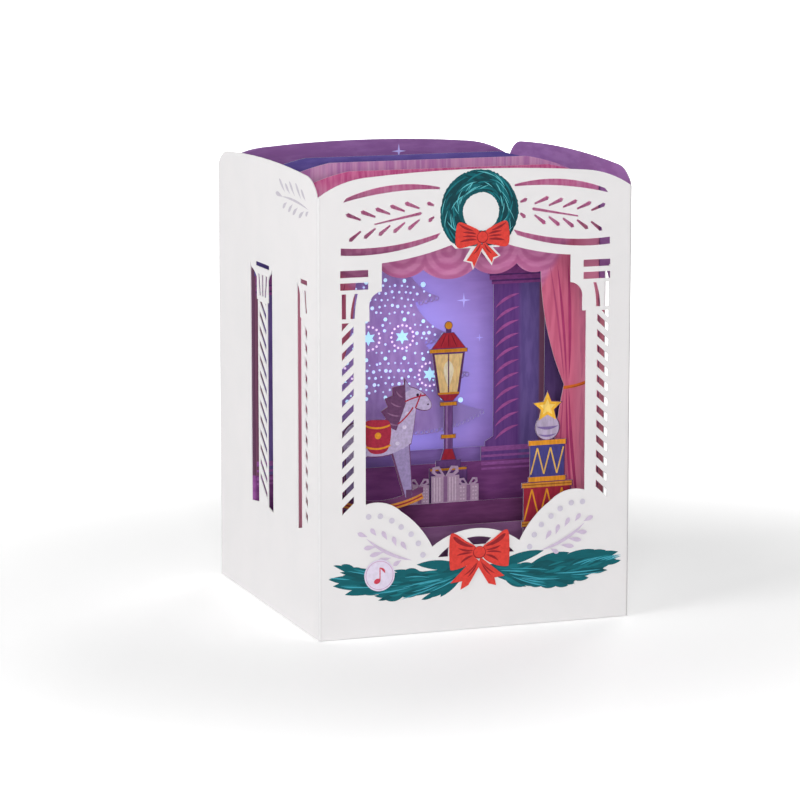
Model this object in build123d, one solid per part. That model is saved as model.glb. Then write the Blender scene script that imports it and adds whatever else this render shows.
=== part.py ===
"""Pop-up greeting card: a die-cut sleeve, opened to a square box, with stage sheets glued across it."""
import os

from build123d import *

# Millimetres. The origin is under the middle of the box, the front faces -Y and the floor is Z = 0.

# Stock
card = 0.35  # sleeve
sheet = 0.3  # stage sheets and cut-outs
fold_inside = 0.4  # inside radius of every fold
through = 1.0  # how far a cutter passes a face

# Width of the front wall
window_width = 76.1
column_width = 15.95
width = window_width + 2 * column_width

# Depth, as the bays between the sheets add up
bay_front = 13.0  # front wall to toy rail
bay_toys = 12.5  # toy rail to curtain
bay_curtain = 18.8  # curtain to border
bay_border = 25.7  # border to column frame
bay_columns = 18.0  # column frame to tree
bay_tree = 20.0  # tree to back wall
depth = bay_front + bay_toys + bay_curtain + bay_border + bay_columns + bay_tree

# Wall height
corner_height = 143.0
arch_rise = 7.5
front_crown = 0.7  # share of a wall under the flat middle arc of its top
front_crown_rise = 1.56
side_crown = 0.8
side_crown_rise = 1.41
seam_flap = 8.5
seam_taper = 4.0

# Front wall openings
sill = 43.6
capital_drop = 40.0  # corner height down to the foot of the capitals
head_drop = 21.5  # corner height down to the window's upper corners
capital_step = 1.35
capital_neck = 4.0
capital_rise = 5.5
head_inset = 5.55
head_slope = 4.9
knot_half = 8.8  # half width of the bow that stands on the window's head
knot_drop = 1.3
bridge_half = 15.2
bridge_end = 28.2
bridge_top = 33.3
bridge_band = 2.7
crescent_half = 13.3
crescent_base = 24.6
scallop_join = 0.47  # where the two scallops meet, from the bridge to the column
scallop_join_height = 40.6

# Slots in the front wall's columns
slot_inset = 8.0
slot_width = 4.0
slot_height = 2.35
slot_rise = 3.65
slot_pitch = 5.0
cap_bar_length = 9.5
cap_bar_height = 2.3
cap_bar_gap = 1.7
flute_width = 1.5
flute_height = 8.0

# Leaf sprigs and curved bars over the window
sprig_inset = 14.5
sprig_drop = 9.2
sprig_pitch = 4.95
sprig_slope = 0.148
sprig_pairs = 6
leaf_gap = 1.8
leaf_fat = 1.4
bar_band = 2.1

# Column openings in the side walls
side_sill = 34.0
side_column_at = 13.7  # border sheet to the column's middle
side_gap_front = 5.6
side_gap_rear = 8.4
side_shaft = 10.0
side_collar = 1.1  # how far the capital stands out over the shaft
side_slot_width = 8.0
side_slot_height = 2.5
side_slot_rise = 6.4
side_flute_width = 1.9
side_flute_height = 7.2
side_bar_height = 1.5
horn = 1.5  # width of a side gap where it closes over the capital
half_column_at = 16.9  # front wall to the half column's gap
half_gap = 4.4
half_slot_width = 2.5
half_slot_height = 3.0
half_slot_rise = 1.9

# Stage sheets
sheet_foot = 4.0
tab_length = 8.5
tab_foot = 9.0
tab_drop = 12.0
shoulder_run = 18.2
shoulder_fall = 5.9
curtain_over = 5.4  # sheet tops above the corner height
border_over = 6.4
columns_over = 5.6
rail_height = 21.5
step_one = 29.1
step_two = 33.0
step_three = 41.5
valance_drop = 27.8
valance_dip = 3.4
drape_top = 21.2  # drape widths, from the side wall
drape_waist = 12.6
drape_foot = 16.5
waist_height = 74.5
border_leg = 12.0
border_drop = 25.0
shaft_depth = 20.5  # printed columns: widths from the side wall
capital_depth = 23.0
pedestal_depth = 25.0
pedestal_height = 46.5
lintel_drop = 33.0
lintel_rise = 6.0

# Tree
tree_strip = 43.0
trunk_half = 5.0
tree_skirt = 50.5
tree_tip = 56.0
tree_tiers = 6
tier_step = 13.7
tree_half = 36.5
tier_taper = 5.7
tree_top = 138.0
dot_pitch = 7.0
dot_radius = 0.75
star_radius = 2.7

# Cut-outs
horse_from_wall = 24.5
horse_foot = 39.5
drums_from_wall = 23.5
drums_foot = 29.5
drum_width = 17.0
drum_height = 15.0
small_drum_width = 12.5
small_drum_height = 14.0
drum_rim = 0.6
lamp_post_at = 16.5
lamp_post_foot = 37.0
gifts_at = 5.7
glue_depth = 10.0

# Sound and light unit behind the front wall
case_from_wall = 4.5
case_foot = 4.5
case_width = 36.0
case_height = 22.0
case_depth = 8.0
case_wall = 0.8
cover_thick = 0.6
button_in = 15.4  # case's left side to the button
button_up = 15.8
button_radius = 3.0
button_play = 0.2
button_flange = 0.8
button_travel = 0.5
board_thick = 0.8
board_gap = 2.9  # case front to board
board_play = 0.4
post_size = 2.4
speaker_radius = 9.0
speaker_thick = 2.5
cell_radius = 3.9
cell_thick = 2.6
lamp_height = 53.5
lamp_size = 5.0
lamp_thick = 1.6
lamp_chamfer = 0.4
lamp_window = 1.9
lamp_board_half = 4.5
lead_width = 1.7
lead_thick = 0.8
lead_height = 2.2
lead_bend = 1.2
lead_play = 0.3

edge = width / 2
inner = edge - card
front_face = -depth / 2
back_face = depth / 2
rail_y = front_face + bay_front
curtain_y = rail_y + bay_toys
border_y = curtain_y + bay_curtain
columns_y = border_y + bay_border
tree_y = columns_y + bay_columns
sheet_fold = fold_inside + sheet
plate_half = inner - sheet_fold
capital_z = corner_height - capital_drop
head_z = corner_height - head_drop


def outline(*runs):
    """Face inside a closed ring of edges."""
    edges = []
    for run in runs:
        edges.extend(run.edges())
    return make_face(edges)


def both(face):
    """A face and its mirror image across the middle."""
    return face + mirror(face, about=Plane.YZ)


def upright(face, y, thick):
    """Sheet drawn as (x, z), standing with its front at y."""
    return extrude(Plane.XZ.offset(-y - thick) * face, amount=thick)


def sideways(face, x, thick):
    """Sheet drawn as (y, z), standing with its left side at x."""
    return extrude(Plane.YZ.offset(x) * face, amount=thick)


def box(x0, x1, z0, z1):
    """Rectangle between two corners."""
    return Pos((x0 + x1) / 2, (z0 + z1) / 2) * Rectangle(x1 - x0, z1 - z0)


def polygon(*points):
    return outline(Polyline(*points, close=True))


def slanted(left, right, z, rise, tall):
    """Slot with upright ends that climbs to the right."""
    return polygon((left, z), (right, z + rise), (right, z + rise + tall), (left, z + tall))


def leaf(stalk, tip, fat):
    """Slot that widens from a narrow stalk end and closes in a blunt tip."""
    stalk = Vector(*stalk)
    tip = Vector(*tip)
    along = (tip - stalk).normalized()
    across = Vector(-along.Y, along.X) * (fat / 2)
    widest = tip - along * (fat / 2)
    return polygon(stalk - across * 0.45, widest - across, tip, widest + across, stalk + across * 0.45)


def oval(x, z, rx, rz, turn=0):
    return Pos(x, z) * Rot(0, 0, turn) * Ellipse(rx, rz)


def star(x, z, points, outer, inset):
    """Star polygon, upright."""
    ring = []
    for i in range(2 * points):
        reach = outer if i % 2 == 0 else inset
        turn = Vector(0, reach).rotate(Axis.Z, 180 * i / points)
        ring.append((x + turn.X, z + turn.Y))
    return polygon(*ring)


# Sleeve


def above_arch(half, crown, crown_rise):
    """Everything over a wall's arched top: a flat crown between two round shoulders."""
    peak = corner_height + arch_rise
    left = (-crown * half, peak - crown_rise)
    right = (crown * half, peak - crown_rise)
    middle = ThreePointArc(left, (0, peak), right)
    shoulder = TangentArc(right, (half, corner_height), tangent=middle % 1)
    other = mirror(shoulder, about=Plane.YZ)
    lid = Polyline(
        (half, corner_height),
        (half, peak + through),
        (-half, peak + through),
        (-half, corner_height),
    )
    return outline(middle, shoulder, lid, other)


def front_window():
    """Opening of the front wall, round the bow's tails."""
    side = edge - column_width
    neck = side - capital_step
    head = edge - column_width - head_inset
    flare = capital_z + capital_neck
    crown = head_z + head_slope
    join = bridge_half + scallop_join * (side - bridge_half)
    bow = crown - knot_drop
    bridge_radius = arch_radius(bridge_half, bridge_top - bridge_end)
    half = outline(
        Line((0, bow), (0, bridge_top)),
        RadiusArc((0, bridge_top), (bridge_half, bridge_end), bridge_radius),
        ThreePointArc(
            (bridge_half, bridge_end),
            (bridge_half + 0.45 * (join - bridge_half), scallop_join_height - 5.2),
            (join, scallop_join_height),
        ),
        ThreePointArc((join, scallop_join_height), ((join + side) / 2 + 0.6, sill + 0.35), (side, sill)),
        Polyline((side, sill), (side, capital_z), (neck, capital_z), (neck, flare)),
        ThreePointArc(
            (neck, flare),
            (neck - 0.3 * (neck - head), flare + 0.75 * capital_rise),
            (head, flare + capital_rise),
        ),
        Line((head, flare + capital_rise), (head, head_z)),
        ThreePointArc(
            (head, head_z),
            ((head + knot_half) / 2, head_z + 0.34 * head_slope),
            (knot_half, crown),
        ),
        Polyline((knot_half, crown), (knot_half - knot_drop, bow), (0, bow)),
    )
    tails = polygon(
        (-1.6, bow + through),
        (-4.7, bow - 4.1),
        (-2.1, bow - 4.9),
        (-1.4, bow - 7.0),
        (1.4, bow - 1.2),
        (5.0, bow - 5.9),
        (5.7, bow - 4.0),
        (8.0, bow - 2.8),
        (4.4, bow + through),
    )
    return both(half) - tails


def arch_radius(half, rise):
    """Radius of a low arch from its half span and rise."""
    return (half * half + rise * rise) / (2 * rise)


def crescent():
    """Opening under the bridge, with the lower bow left standing in it."""
    top = bridge_top - bridge_band
    lens = outline(
        ThreePointArc((-crescent_half, crescent_base), (0, top), (crescent_half, crescent_base)),
        Line((crescent_half, crescent_base), (-crescent_half, crescent_base)),
    )
    loops = polygon(
        (-9.2, bridge_top),
        (-6.4, bridge_top),
        (-0.9, crescent_base + 3.3),
        (3.3, crescent_base + 3.3),
        (9.0, bridge_top),
        (11.4, bridge_top),
        (11.0, crescent_base - through),
        (-9.8, crescent_base - through),
    )
    return lens - loops


def front_bars():
    """Curved bars over and under the sprig, left side."""
    left = -edge
    top = corner_height
    upper = outline(
        ThreePointArc((left + 9.6, top - 0.3), (left + 27.0, top + 3.4), (left + 41.2, top + 2.1)),
        Line((left + 41.2, top + 2.1), (left + 41.2, top + 1.4)),
        ThreePointArc(
            (left + 41.2, top + 1.4),
            (left + 26.0, top + 3.3 - bar_band),
            (left + 8.5, top - 1.7),
        ),
        Line((left + 8.5, top - 1.7), (left + 9.6, top - 0.3)),
    )
    foot = head_z + 3.0
    lower = outline(
        Line((left + 7.7, foot), (left + 7.7, foot + bar_band + 0.2)),
        ThreePointArc(
            (left + 7.7, foot + bar_band + 0.2),
            (left + 24.0, foot + bar_band + 0.3),
            (left + 41.5, foot + 6.0),
        ),
        Line((left + 41.5, foot + 6.0), (left + 40.3, foot + 4.2)),
        ThreePointArc((left + 40.3, foot + 4.2), (left + 24.0, foot + 0.3), (left + 7.7, foot)),
    )
    return [upper, lower]


def front_sprig():
    """Leaf slots either side of a short stem, left side."""
    left = -edge + sprig_inset
    base = corner_height - sprig_drop
    slots = [leaf((left + 4.5, base + 0.2), (left + 20.7, base + 3.2), 1.0)]
    for i in range(sprig_pairs):
        x = left + i * sprig_pitch
        z = base + sprig_slope * i * sprig_pitch
        size = 0.5 if i == sprig_pairs - 1 else 1.0
        slots.append(leaf((x, z + leaf_gap), (x - 5.1 * size, z + leaf_gap + 2.0 * size), leaf_fat))
        slots.append(leaf((x, z - leaf_gap), (x - 4.0 * size, z - leaf_gap - 3.1 * size), leaf_fat))
    return slots


def front_column():
    """Slots of the fluted capital and the twisted shaft, left side."""
    left = -edge + slot_inset
    right = left + slot_width
    bars = left - 0.5
    upper_bar = capital_z + 14.3
    lower_bar = upper_bar - cap_bar_gap - cap_bar_height
    foot = capital_z + 1.1
    half_way = foot + flute_height / 2
    head = foot + flute_height
    slots = [
        box(bars, bars + cap_bar_length, upper_bar, upper_bar + cap_bar_height),
        box(bars, bars + cap_bar_length, lower_bar, lower_bar + cap_bar_height),
        box(left, left + flute_width, foot, foot + flute_height),
        outline(
            Line((left + 2.9, foot), (left + 2.9 + flute_width, foot)),
            ThreePointArc((left + 2.9 + flute_width, foot), (left + 4.7, half_way), (left + 5.5, head)),
            Line((left + 5.5, head), (left + 4.4, head)),
            ThreePointArc((left + 4.4, head), (left + 3.3, half_way), (left + 2.9, foot)),
        ),
        polygon((left, capital_z - 0.2), (left + 2.5, capital_z - 0.2), (left, capital_z - 2.8)),
    ]
    first = capital_z - 1.3 - slot_rise - slot_height
    count = int((first - sill + 3.0) / slot_pitch) + 1
    for i in range(count):
        z = first - i * slot_pitch
        slots.append(slanted(left, right, z, slot_rise, slot_height))
    return slots


def column_gap(near, hand, gap):
    """Opening beside a side wall's column, which closes in a horn over the capital."""
    top = capital_z + 9.8
    far = near + hand * gap
    collar = near + hand * side_collar
    lip = far - hand * horn
    neck_z = capital_z - 0.2
    return outline(
        Polyline(
            (collar, top - 2.6),
            (collar, neck_z),
            (near, neck_z),
            (near, side_sill),
            (far, side_sill - 1.0),
            (far, top + 1.8),
            (lip, top),
        ),
        ThreePointArc((lip, top), (0.7 * collar + 0.3 * lip, top - 1.4), (collar, top - 2.6)),
    )


def side_cuts():
    """Column openings of a side wall, drawn with y from the front."""
    middle = border_y + side_column_at
    shaft = side_shaft / 2
    bar_z = capital_z + 10.9
    cuts = [
        box(middle - 7.4, middle + 7.5, bar_z, bar_z + side_bar_height),
        column_gap(middle - shaft, -1, side_gap_front),
        column_gap(middle + shaft, 1, side_gap_rear),
    ]
    foot = capital_z + 1.3
    head = foot + side_flute_height
    half = side_flute_width / 2
    for at, lean in ((-2.8, -1.4), (0, 0), (2.8, 1.4)):
        low = middle + at
        high = low + lean
        cuts.append(polygon((low - half, foot), (low + half, foot), (high + half, head), (high - half, head)))
    left = middle - side_slot_width / 2
    right = middle + side_slot_width / 2
    first = capital_z - 2.0
    shaft_face = box(left, right, side_sill, capital_z - 0.7)
    for i in range(int((first - side_sill) / slot_pitch) + 1):
        slot = slanted(left, right, first - i * slot_pitch, side_slot_rise, side_slot_height)
        cuts.append(slot & shaft_face)
    return cuts


def half_column_cuts():
    """Half column of a side wall, next to the front fold."""
    near = front_face + half_column_at
    bar_z = capital_z + 10.9
    foot = capital_z + 1.8
    head = foot + side_flute_height
    left = near - 5.9
    right = left + side_flute_width
    lean = 1.4
    cuts = [
        box(left - 0.2, near + 1.0, bar_z, bar_z + side_bar_height),
        polygon((left, foot), (right, foot), (right + lean, head), (left + lean, head)),
        column_gap(near, 1, half_gap),
    ]
    first = capital_z - 2.0 - half_slot_height - half_slot_rise
    for i in range(int((first - side_sill) / slot_pitch) + 1):
        z = first - i * slot_pitch
        cuts.append(slanted(left, left + half_slot_width, z, half_slot_rise, half_slot_height))
    return cuts


def make_sleeve():
    """One strip of card folded round four corners and glued down inside the right wall."""
    tall = corner_height + arch_rise
    fold = fold_inside + card
    plan = RectangleRounded(width, depth, fold)
    plan -= RectangleRounded(width - 2 * card, depth - 2 * card, fold_inside)
    tube = extrude(plan, amount=tall)
    rear = back_face - card
    flap = polygon(
        (rear, seam_taper),
        (rear, corner_height - seam_taper),
        (rear - seam_flap, corner_height - 3 * seam_taper),
        (rear - seam_flap, 3 * seam_taper),
    )
    tube += sideways(flap, inner - card, card)
    front = above_arch(edge, front_crown, front_crown_rise)
    side = above_arch(depth / 2, side_crown, side_crown_rise)
    cutters = [
        upright(front, front_face - through, fold + through),
        upright(front, back_face - fold, fold + through),
        sideways(side, -edge - through, fold + through),
        sideways(side, edge - fold, fold + through),
    ]
    openings = [front_window(), crescent()]
    for slot in front_bars() + front_sprig() + front_column():
        openings += [slot, mirror(slot, about=Plane.YZ)]
    for face in openings:
        cutters.append(upright(face, front_face - through, card + 2 * through))
    for face in side_cuts() + half_column_cuts():
        cutters.append(sideways(face, -edge - through, card + 2 * through))
        cutters.append(sideways(face, inner - through, card + 2 * through))
    return tube - cutters


# Stage sheets


def tabs(y, foot, head, back=True):
    """Glue tabs folded off both ends of a sheet, flat on the side walls."""
    heart = inner - sheet_fold
    bend = (Circle(sheet_fold) - Circle(fold_inside)) & box(0, sheet_fold, -sheet_fold, 0)
    strip = box(fold_inside, sheet_fold, 0, tab_length - sheet_fold)
    plan = Pos(heart, sheet_fold) * (bend + strip)
    if not back:
        plan = Pos(0, sheet) * mirror(plan, about=Plane.XZ)
    tab = Pos(0, y, foot) * extrude(plan, amount=head - foot)
    return tab + mirror(tab, about=Plane.YZ)


def sheet_outline(over):
    """Full stage sheet with sloping shoulders."""
    top = corner_height + over
    half = outline(
        Polyline((0, top), (0, sheet_foot), (plate_half, sheet_foot), (plate_half, top - shoulder_fall)),
        ThreePointArc(
            (plate_half, top - shoulder_fall),
            (plate_half - shoulder_run / 2, top - 0.38 * shoulder_fall),
            (plate_half - shoulder_run, top),
        ),
        Line((plate_half - shoulder_run, top), (0, top)),
    )
    return both(half)


def stage_sheet(face, y, back=True):
    return upright(face, y, sheet) + tabs(y, tab_foot, corner_height - tab_drop, back)


def curtain_opening():
    """Stage opening: scalloped valance, tied drapes and the first step."""
    cusp = corner_height - valance_drop
    top = inner - drape_top
    waist = inner - drape_waist
    foot = inner - drape_foot
    third = top / 3.6
    half = outline(
        Line((0, cusp - valance_dip), (0, step_one)),
        Line((0, step_one), (foot, step_one)),
        ThreePointArc((foot, step_one), (foot + 0.4, waist_height - 22), (waist, waist_height)),
        ThreePointArc((waist, waist_height), (top + 2.6, waist_height + 18), (top, cusp - 2.2)),
        ThreePointArc((top, cusp - 2.2), (2.95 * third, cusp - 1.6), (2.65 * third, cusp + 0.8)),
        ThreePointArc((2.65 * third, cusp + 0.8), (1.82 * third, cusp - 2.4), (third, cusp)),
        ThreePointArc((third, cusp), (0.55 * third, cusp - 0.75 * valance_dip), (0, cusp - valance_dip)),
    )
    return both(half)


def border_opening():
    """Second opening: shallow scallops, narrow legs and the second step."""
    leg = inner - border_leg
    top = corner_height - border_drop
    half = outline(
        Polyline((0, top - 2.5), (0, step_two), (leg, step_two), (leg, top)),
        ThreePointArc((leg, top), (0.75 * leg, top - 2.5), (leg / 2, top)),
        ThreePointArc((leg / 2, top), (leg / 4, top - 1.9), (0, top - 2.5)),
    )
    return both(half)


def columns_opening():
    """Third opening: two columns on pedestals, a low arch and the third step."""
    shaft = inner - shaft_depth
    capital = inner - capital_depth
    pedestal = inner - pedestal_depth
    spring = corner_height - lintel_drop
    crown = spring + lintel_rise
    half = outline(
        Polyline(
            (0, crown),
            (0, step_three),
            (pedestal, step_three),
            (pedestal, pedestal_height),
            (pedestal + 1.5, pedestal_height),
            (pedestal + 1.5, pedestal_height + 1.6),
            (shaft, pedestal_height + 3.4),
            (shaft, spring - 6.5),
        ),
        ThreePointArc((shaft, spring - 6.5), (shaft - 0.5, spring - 3.5), (capital, spring - 1.8)),
        Line((capital, spring - 1.8), (capital, spring)),
        ThreePointArc((capital, spring), (0.55 * capital, spring + 0.74 * lintel_rise), (0, crown)),
    )
    return both(half)


def tree_holes():
    """A row of punched dots along each skirt, and a few stars."""
    holes = []
    for i in range(tree_tiers):
        half = tree_half - i * tier_taper
        z = tree_tip + i * tier_step
        count = int((half - 5.0) / dot_pitch)
        for j in range(-count, count + 1):
            x = j * dot_pitch
            rise = 4.2 * (1 - (x / half) ** 2)
            holes.append(Pos(x, z + 2.2 + rise) * RegularPolygon(dot_radius, 6))
    for x, row in ((-16.4, 1), (16.4, 1), (-6.2, 2), (6.2, 2), (0, 4)):
        holes.append(star(x, tree_tip + row * tier_step, 6, star_radius, 0.5 * star_radius))
    return holes


def make_tree():
    """Fir tree on a strip that reaches both side walls."""
    runs = [
        Polyline((0, tree_strip), (trunk_half, tree_strip), (trunk_half, tree_skirt)),
        ThreePointArc((trunk_half, tree_skirt), (0.6 * tree_half, tree_skirt + 0.4), (tree_half, tree_tip)),
    ]
    tip = (tree_half, tree_tip)
    for i in range(1, tree_tiers):
        half = tree_half - i * tier_taper
        z = tree_tip + i * tier_step
        notch = (0.56 * half, z - 1.9)
        waist = (0.42 * tip[0] + 0.58 * notch[0] - 1.6, 0.55 * tip[1] + 0.45 * notch[1])
        runs.append(ThreePointArc(tip, waist, notch))
        runs.append(Line(notch, (half, z)))
        tip = (half, z)
    runs.append(ThreePointArc(tip, (0.4 * tip[0], 0.5 * tip[1] + 0.5 * tree_top), (0, tree_top)))
    runs.append(Line((0, tree_top), (0, tree_strip)))
    face = both(outline(*runs)) + box(-plate_half, plate_half, sheet_foot, tree_strip)
    holes = [upright(hole, tree_y - through, sheet + 2 * through) for hole in tree_holes()]
    return upright(face, tree_y, sheet) - holes + tabs(tree_y, tab_foot, tree_strip - 2)


# Cut-outs


def rocking_horse():
    """Silhouette of a rocking horse, from the middle of its rocker's foot."""
    rocker = (Pos(0, 30) * (Circle(30) - Circle(27.6))) & box(-15.5, 15.5, -1, 6)
    body = oval(-0.5, 23.0, 11.4, 6.2) + oval(-7.2, 22.4, 5.6, 6.6)
    fore_legs = polygon((4.4, 18), (10.8, 21), (11.9, 3.2), (9.0, 2.2))
    hind_legs = polygon((-11.6, 22), (-5.4, 19), (-8.6, 2.2), (-11.6, 3.2))
    neck = polygon((3.6, 26), (8.0, 18.5), (11.4, 20.5), (12.2, 25), (13.6, 36), (7.0, 38.6))
    head = oval(13.0, 35.4, 6.2, 3.0, -33)
    ear = polygon((8.6, 37.4), (8.9, 42.6), (11.6, 38.6))
    mane = polygon((6, 25), (1.0, 27.6), (2.6, 29.4), (0.9, 31.8), (3.2, 33.2), (2.2, 36), (4.9, 36.8),
                   (4.8, 39.6), (9.4, 40.2), (9.6, 34))
    tail = polygon((-9.6, 26.2), (-13.4, 26.0), (-16.2, 21.6), (-15.4, 17.2), (-16.8, 13.2), (-13.0, 15.2),
                   (-12.0, 19.4), (-9.8, 21.6))
    return rocker + body + fore_legs + hind_legs + neck + head + ear + mane + tail


def drum_stack():
    """Silhouette of two toy drums with a ball and a star on top, from the middle of its foot."""
    big = drum_width / 2
    small = small_drum_width / 2
    top = drum_height + small_drum_height
    face = box(-big, big, 0, drum_height)
    face += box(-big - drum_rim, big + drum_rim, 0, 2)
    face += box(-big - drum_rim, big + drum_rim, drum_height - 2, drum_height)
    face += box(-small, small, drum_height, top)
    face += box(-small - drum_rim, small + drum_rim, drum_height, drum_height + 1.8)
    face += box(-small - drum_rim, small + drum_rim, top - 1.8, top)
    face += Pos(0, top + 4.2) * Circle(4.4)
    return face + star(0, top + 10.8, 5, 5.6, 2.6)


def make_toy_rail():
    """Cross strip with the rocking horse and the drums standing up from it."""
    horse_x = -inner + horse_from_wall
    drums_x = inner - drums_from_wall
    face = box(-plate_half, plate_half, sheet_foot, rail_height)
    face += box(horse_x - 6.5, horse_x + 6.5, rail_height - through, horse_foot + 1.2)
    face += Pos(horse_x, horse_foot) * rocking_horse()
    half = drum_width / 2
    face += box(drums_x - half, drums_x + half, rail_height - through, drums_foot + through)
    face += Pos(drums_x, drums_foot) * drum_stack()
    return upright(face, rail_y, sheet) + tabs(rail_y, sheet_foot + 2, rail_height - 2)


def make_lamp_post():
    """Street lantern, its foot glued to the front of the third step."""
    face = box(-7, 7, -glue_depth, 3) + box(-4.6, 4.6, 3, 5.5)
    face += polygon((-3, 5.5), (3, 5.5), (1.7, 9.5), (-1.7, 9.5))
    face += box(-1.6, 1.6, 9, 27) + box(-2.8, 2.8, 13, 14.6) + box(-3.2, 3.2, 24.4, 26)
    face += polygon((-1.6, 26), (1.6, 26), (4, 28.5), (-4, 28.5))
    face += polygon((-4, 28.5), (4, 28.5), (6, 43), (-6, 43)) + box(-7, 7, 43, 44.4)
    face += polygon((-6.4, 44.4), (6.4, 44.4), (2, 50), (-2, 50))
    face += box(-1, 1, 50, 51.5) + Pos(0, 52.4) * Circle(1.5)
    return upright(Pos(lamp_post_at, lamp_post_foot) * face, columns_y - sheet, sheet)


def bow_loops(size):
    """Two open ribbon loops over a gift."""
    outer = polygon((0, 0), (1.3, 0.1), (2.0, 0.6), (1.9, 1.4), (0.9, 1.5))
    gap = polygon((0.55, 0.4), (1.2, 0.45), (1.55, 0.75), (1.5, 1.1), (1.05, 1.1))
    return scale(both(outer - gap), by=size)


def make_gifts():
    """Three wrapped gifts, glued to the back of the second step."""
    foot = step_two - glue_depth
    face = box(-12.4, 12.3, foot, step_two)
    for x, half, tall, loop in ((-9.0, 3.4, 6.4, 1.7), (0.3, 5.0, 9.2, 2.4), (8.6, 3.7, 5.8, 1.7)):
        face += box(x - half, x + half, step_two, step_two + tall)
        face += Pos(x, step_two + tall - 0.3) * bow_loops(loop)
    return upright(Pos(gifts_at, 0) * face, border_y + sheet, sheet)


# Sound and light unit


case_left = -inner + case_from_wall
case_front = front_face + card
button_x = case_left + button_in
button_z = case_foot + button_up
board_y = case_front + case_wall + board_gap
cover_y = case_front + case_depth - cover_thick
lamp_y = back_face - card


def case_plan(inset):
    """Outline of the case, pulled in all round."""
    right = case_left + case_width - inset
    head = case_foot + case_height - inset
    return box(case_left + inset, right, case_foot + inset, head)


def make_case():
    """Tray glued to the back of the front wall, with posts under the board."""
    tray = upright(case_plan(0), case_front, cover_y - case_front)
    tray -= upright(case_plan(case_wall), case_front + case_wall, case_depth)
    hole = Pos(button_x, button_z) * Circle(button_radius + button_play)
    tray -= upright(hole, case_front - through, case_wall + 2 * through)
    reach = case_wall + post_size / 2
    for x in (case_left + reach, case_left + case_width - reach):
        for z in (case_foot + reach, case_foot + case_height - reach):
            tray += upright(Pos(x, z) * Rectangle(post_size, post_size), case_front + case_wall, board_gap)
    gate = Box(lead_width + 2 * lead_play, lead_thick + 2 * lead_play, 4 * case_wall)
    return tray - Pos(lead_x, lead_y, case_foot) * gate


def make_cover():
    """Back of the case, with a rosette of sound holes."""
    cover = upright(case_plan(0), cover_y, cover_thick)
    for spot in PolarLocations(speaker_radius / 2, 6):
        hole = Pos(speaker_x, speaker_z) * spot * RegularPolygon(1.0, 6)
        cover -= upright(hole, cover_y - through, cover_thick + 2 * through)
    return cover


speaker_x = case_left + case_width - case_wall - board_play - speaker_radius
speaker_z = case_foot + case_height / 2


def make_speaker():
    """Flat disc speaker on the board."""
    return upright(Pos(speaker_x, speaker_z) * Circle(speaker_radius), board_y + board_thick, speaker_thick)


def make_cells():
    """Two button cells on the board, one over the other."""
    near = case_left + case_wall + board_play + cell_radius + 0.5
    low = case_foot + case_wall + board_play + cell_radius + 0.4
    pitch = 2 * cell_radius + 0.4
    cells = []
    for z in (low, low + pitch):
        cells.append(upright(Pos(near, z) * Circle(cell_radius), board_y + board_thick, cell_thick))
    return cells


def make_button():
    """Cap through the case, with a square flange behind its wall and a square stem towards the board."""
    place = Pos(button_x, button_z)
    behind = case_front + case_wall
    wide = 2 * button_radius + 1.6
    stem = board_gap - button_flange - button_travel
    button = upright(place * Circle(button_radius), case_front, case_wall)
    button += upright(place * Rectangle(wide, wide), behind, button_flange)
    return button + upright(place * Rectangle(button_radius, button_radius), behind + button_flange, stem)


def make_lamp():
    """Flat lamp on its board, with a round window in its face."""
    place = Pos(0, lamp_height)
    face = lamp_y - board_thick - lamp_thick
    body = upright(place * Rectangle(lamp_size, lamp_size), face, lamp_thick)
    body = chamfer(body.faces().sort_by(Axis.Y)[0].edges(), lamp_chamfer)
    return body - upright(place * RegularPolygon(lamp_window, 12), face, lamp_chamfer)


lead_x = case_left + case_wall + board_play + 10.0
lead_y = board_y + board_thick + lead_thick / 2


def make_lead():
    """Flat two-core lead: down out of the case, along the left and back walls, up to the lamp board."""
    side = -inner + lead_thick / 2
    rear = lamp_y - lead_thick / 2
    path = FilletPolyline(
        (lead_x, lead_y, case_foot + case_wall + lead_width),
        (lead_x, lead_y, lead_height),
        (side, lead_y, lead_height),
        (side, rear, lead_height),
        (0, rear, lead_height),
        (0, rear, lamp_height - lamp_board_half),
        radius=lead_bend,
    )
    start = Plane(path @ 0, x_dir=(1, 0, 0), z_dir=path % 0)
    return sweep(start * Rectangle(lead_width, lead_thick), path=path)


curtain = stage_sheet(sheet_outline(curtain_over) - curtain_opening(), curtain_y)
border = stage_sheet(sheet_outline(border_over) - border_opening(), border_y, back=False)
columns = stage_sheet(sheet_outline(columns_over) - columns_opening(), columns_y)
board = upright(case_plan(case_wall + board_play), board_y, board_thick)
lamp_plan = Pos(0, lamp_height) * Rectangle(2 * lamp_board_half, 2 * lamp_board_half)
lamp_board = upright(lamp_plan, lamp_y - board_thick, board_thick)

nodes = {
    "sleeve": make_sleeve(),
    "toy_rail": make_toy_rail(),
    "curtain_frame": curtain,
    "border_frame": border,
    "gift_stack": make_gifts(),
    "column_frame": columns,
    "lamp_post": make_lamp_post(),
    "tree": make_tree(),
    "unit_case": make_case(),
    "unit_cover": make_cover(),
    "circuit_board": board,
    "speaker": make_speaker(),
    "button_cells": Compound(children=make_cells()),
    "push_button": make_button(),
    "lamp_board": lamp_board,
    "lamp": make_lamp(),
    "lamp_lead": make_lead(),
}

os.makedirs("parts", exist_ok=True)
for name, shape in nodes.items():
    export_step(shape, f"parts/{name}.step")
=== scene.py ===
"""Dresses the pop-up card: prints and paper, the lamp's glow, a pale floor, soft light and the camera."""
import math

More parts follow.
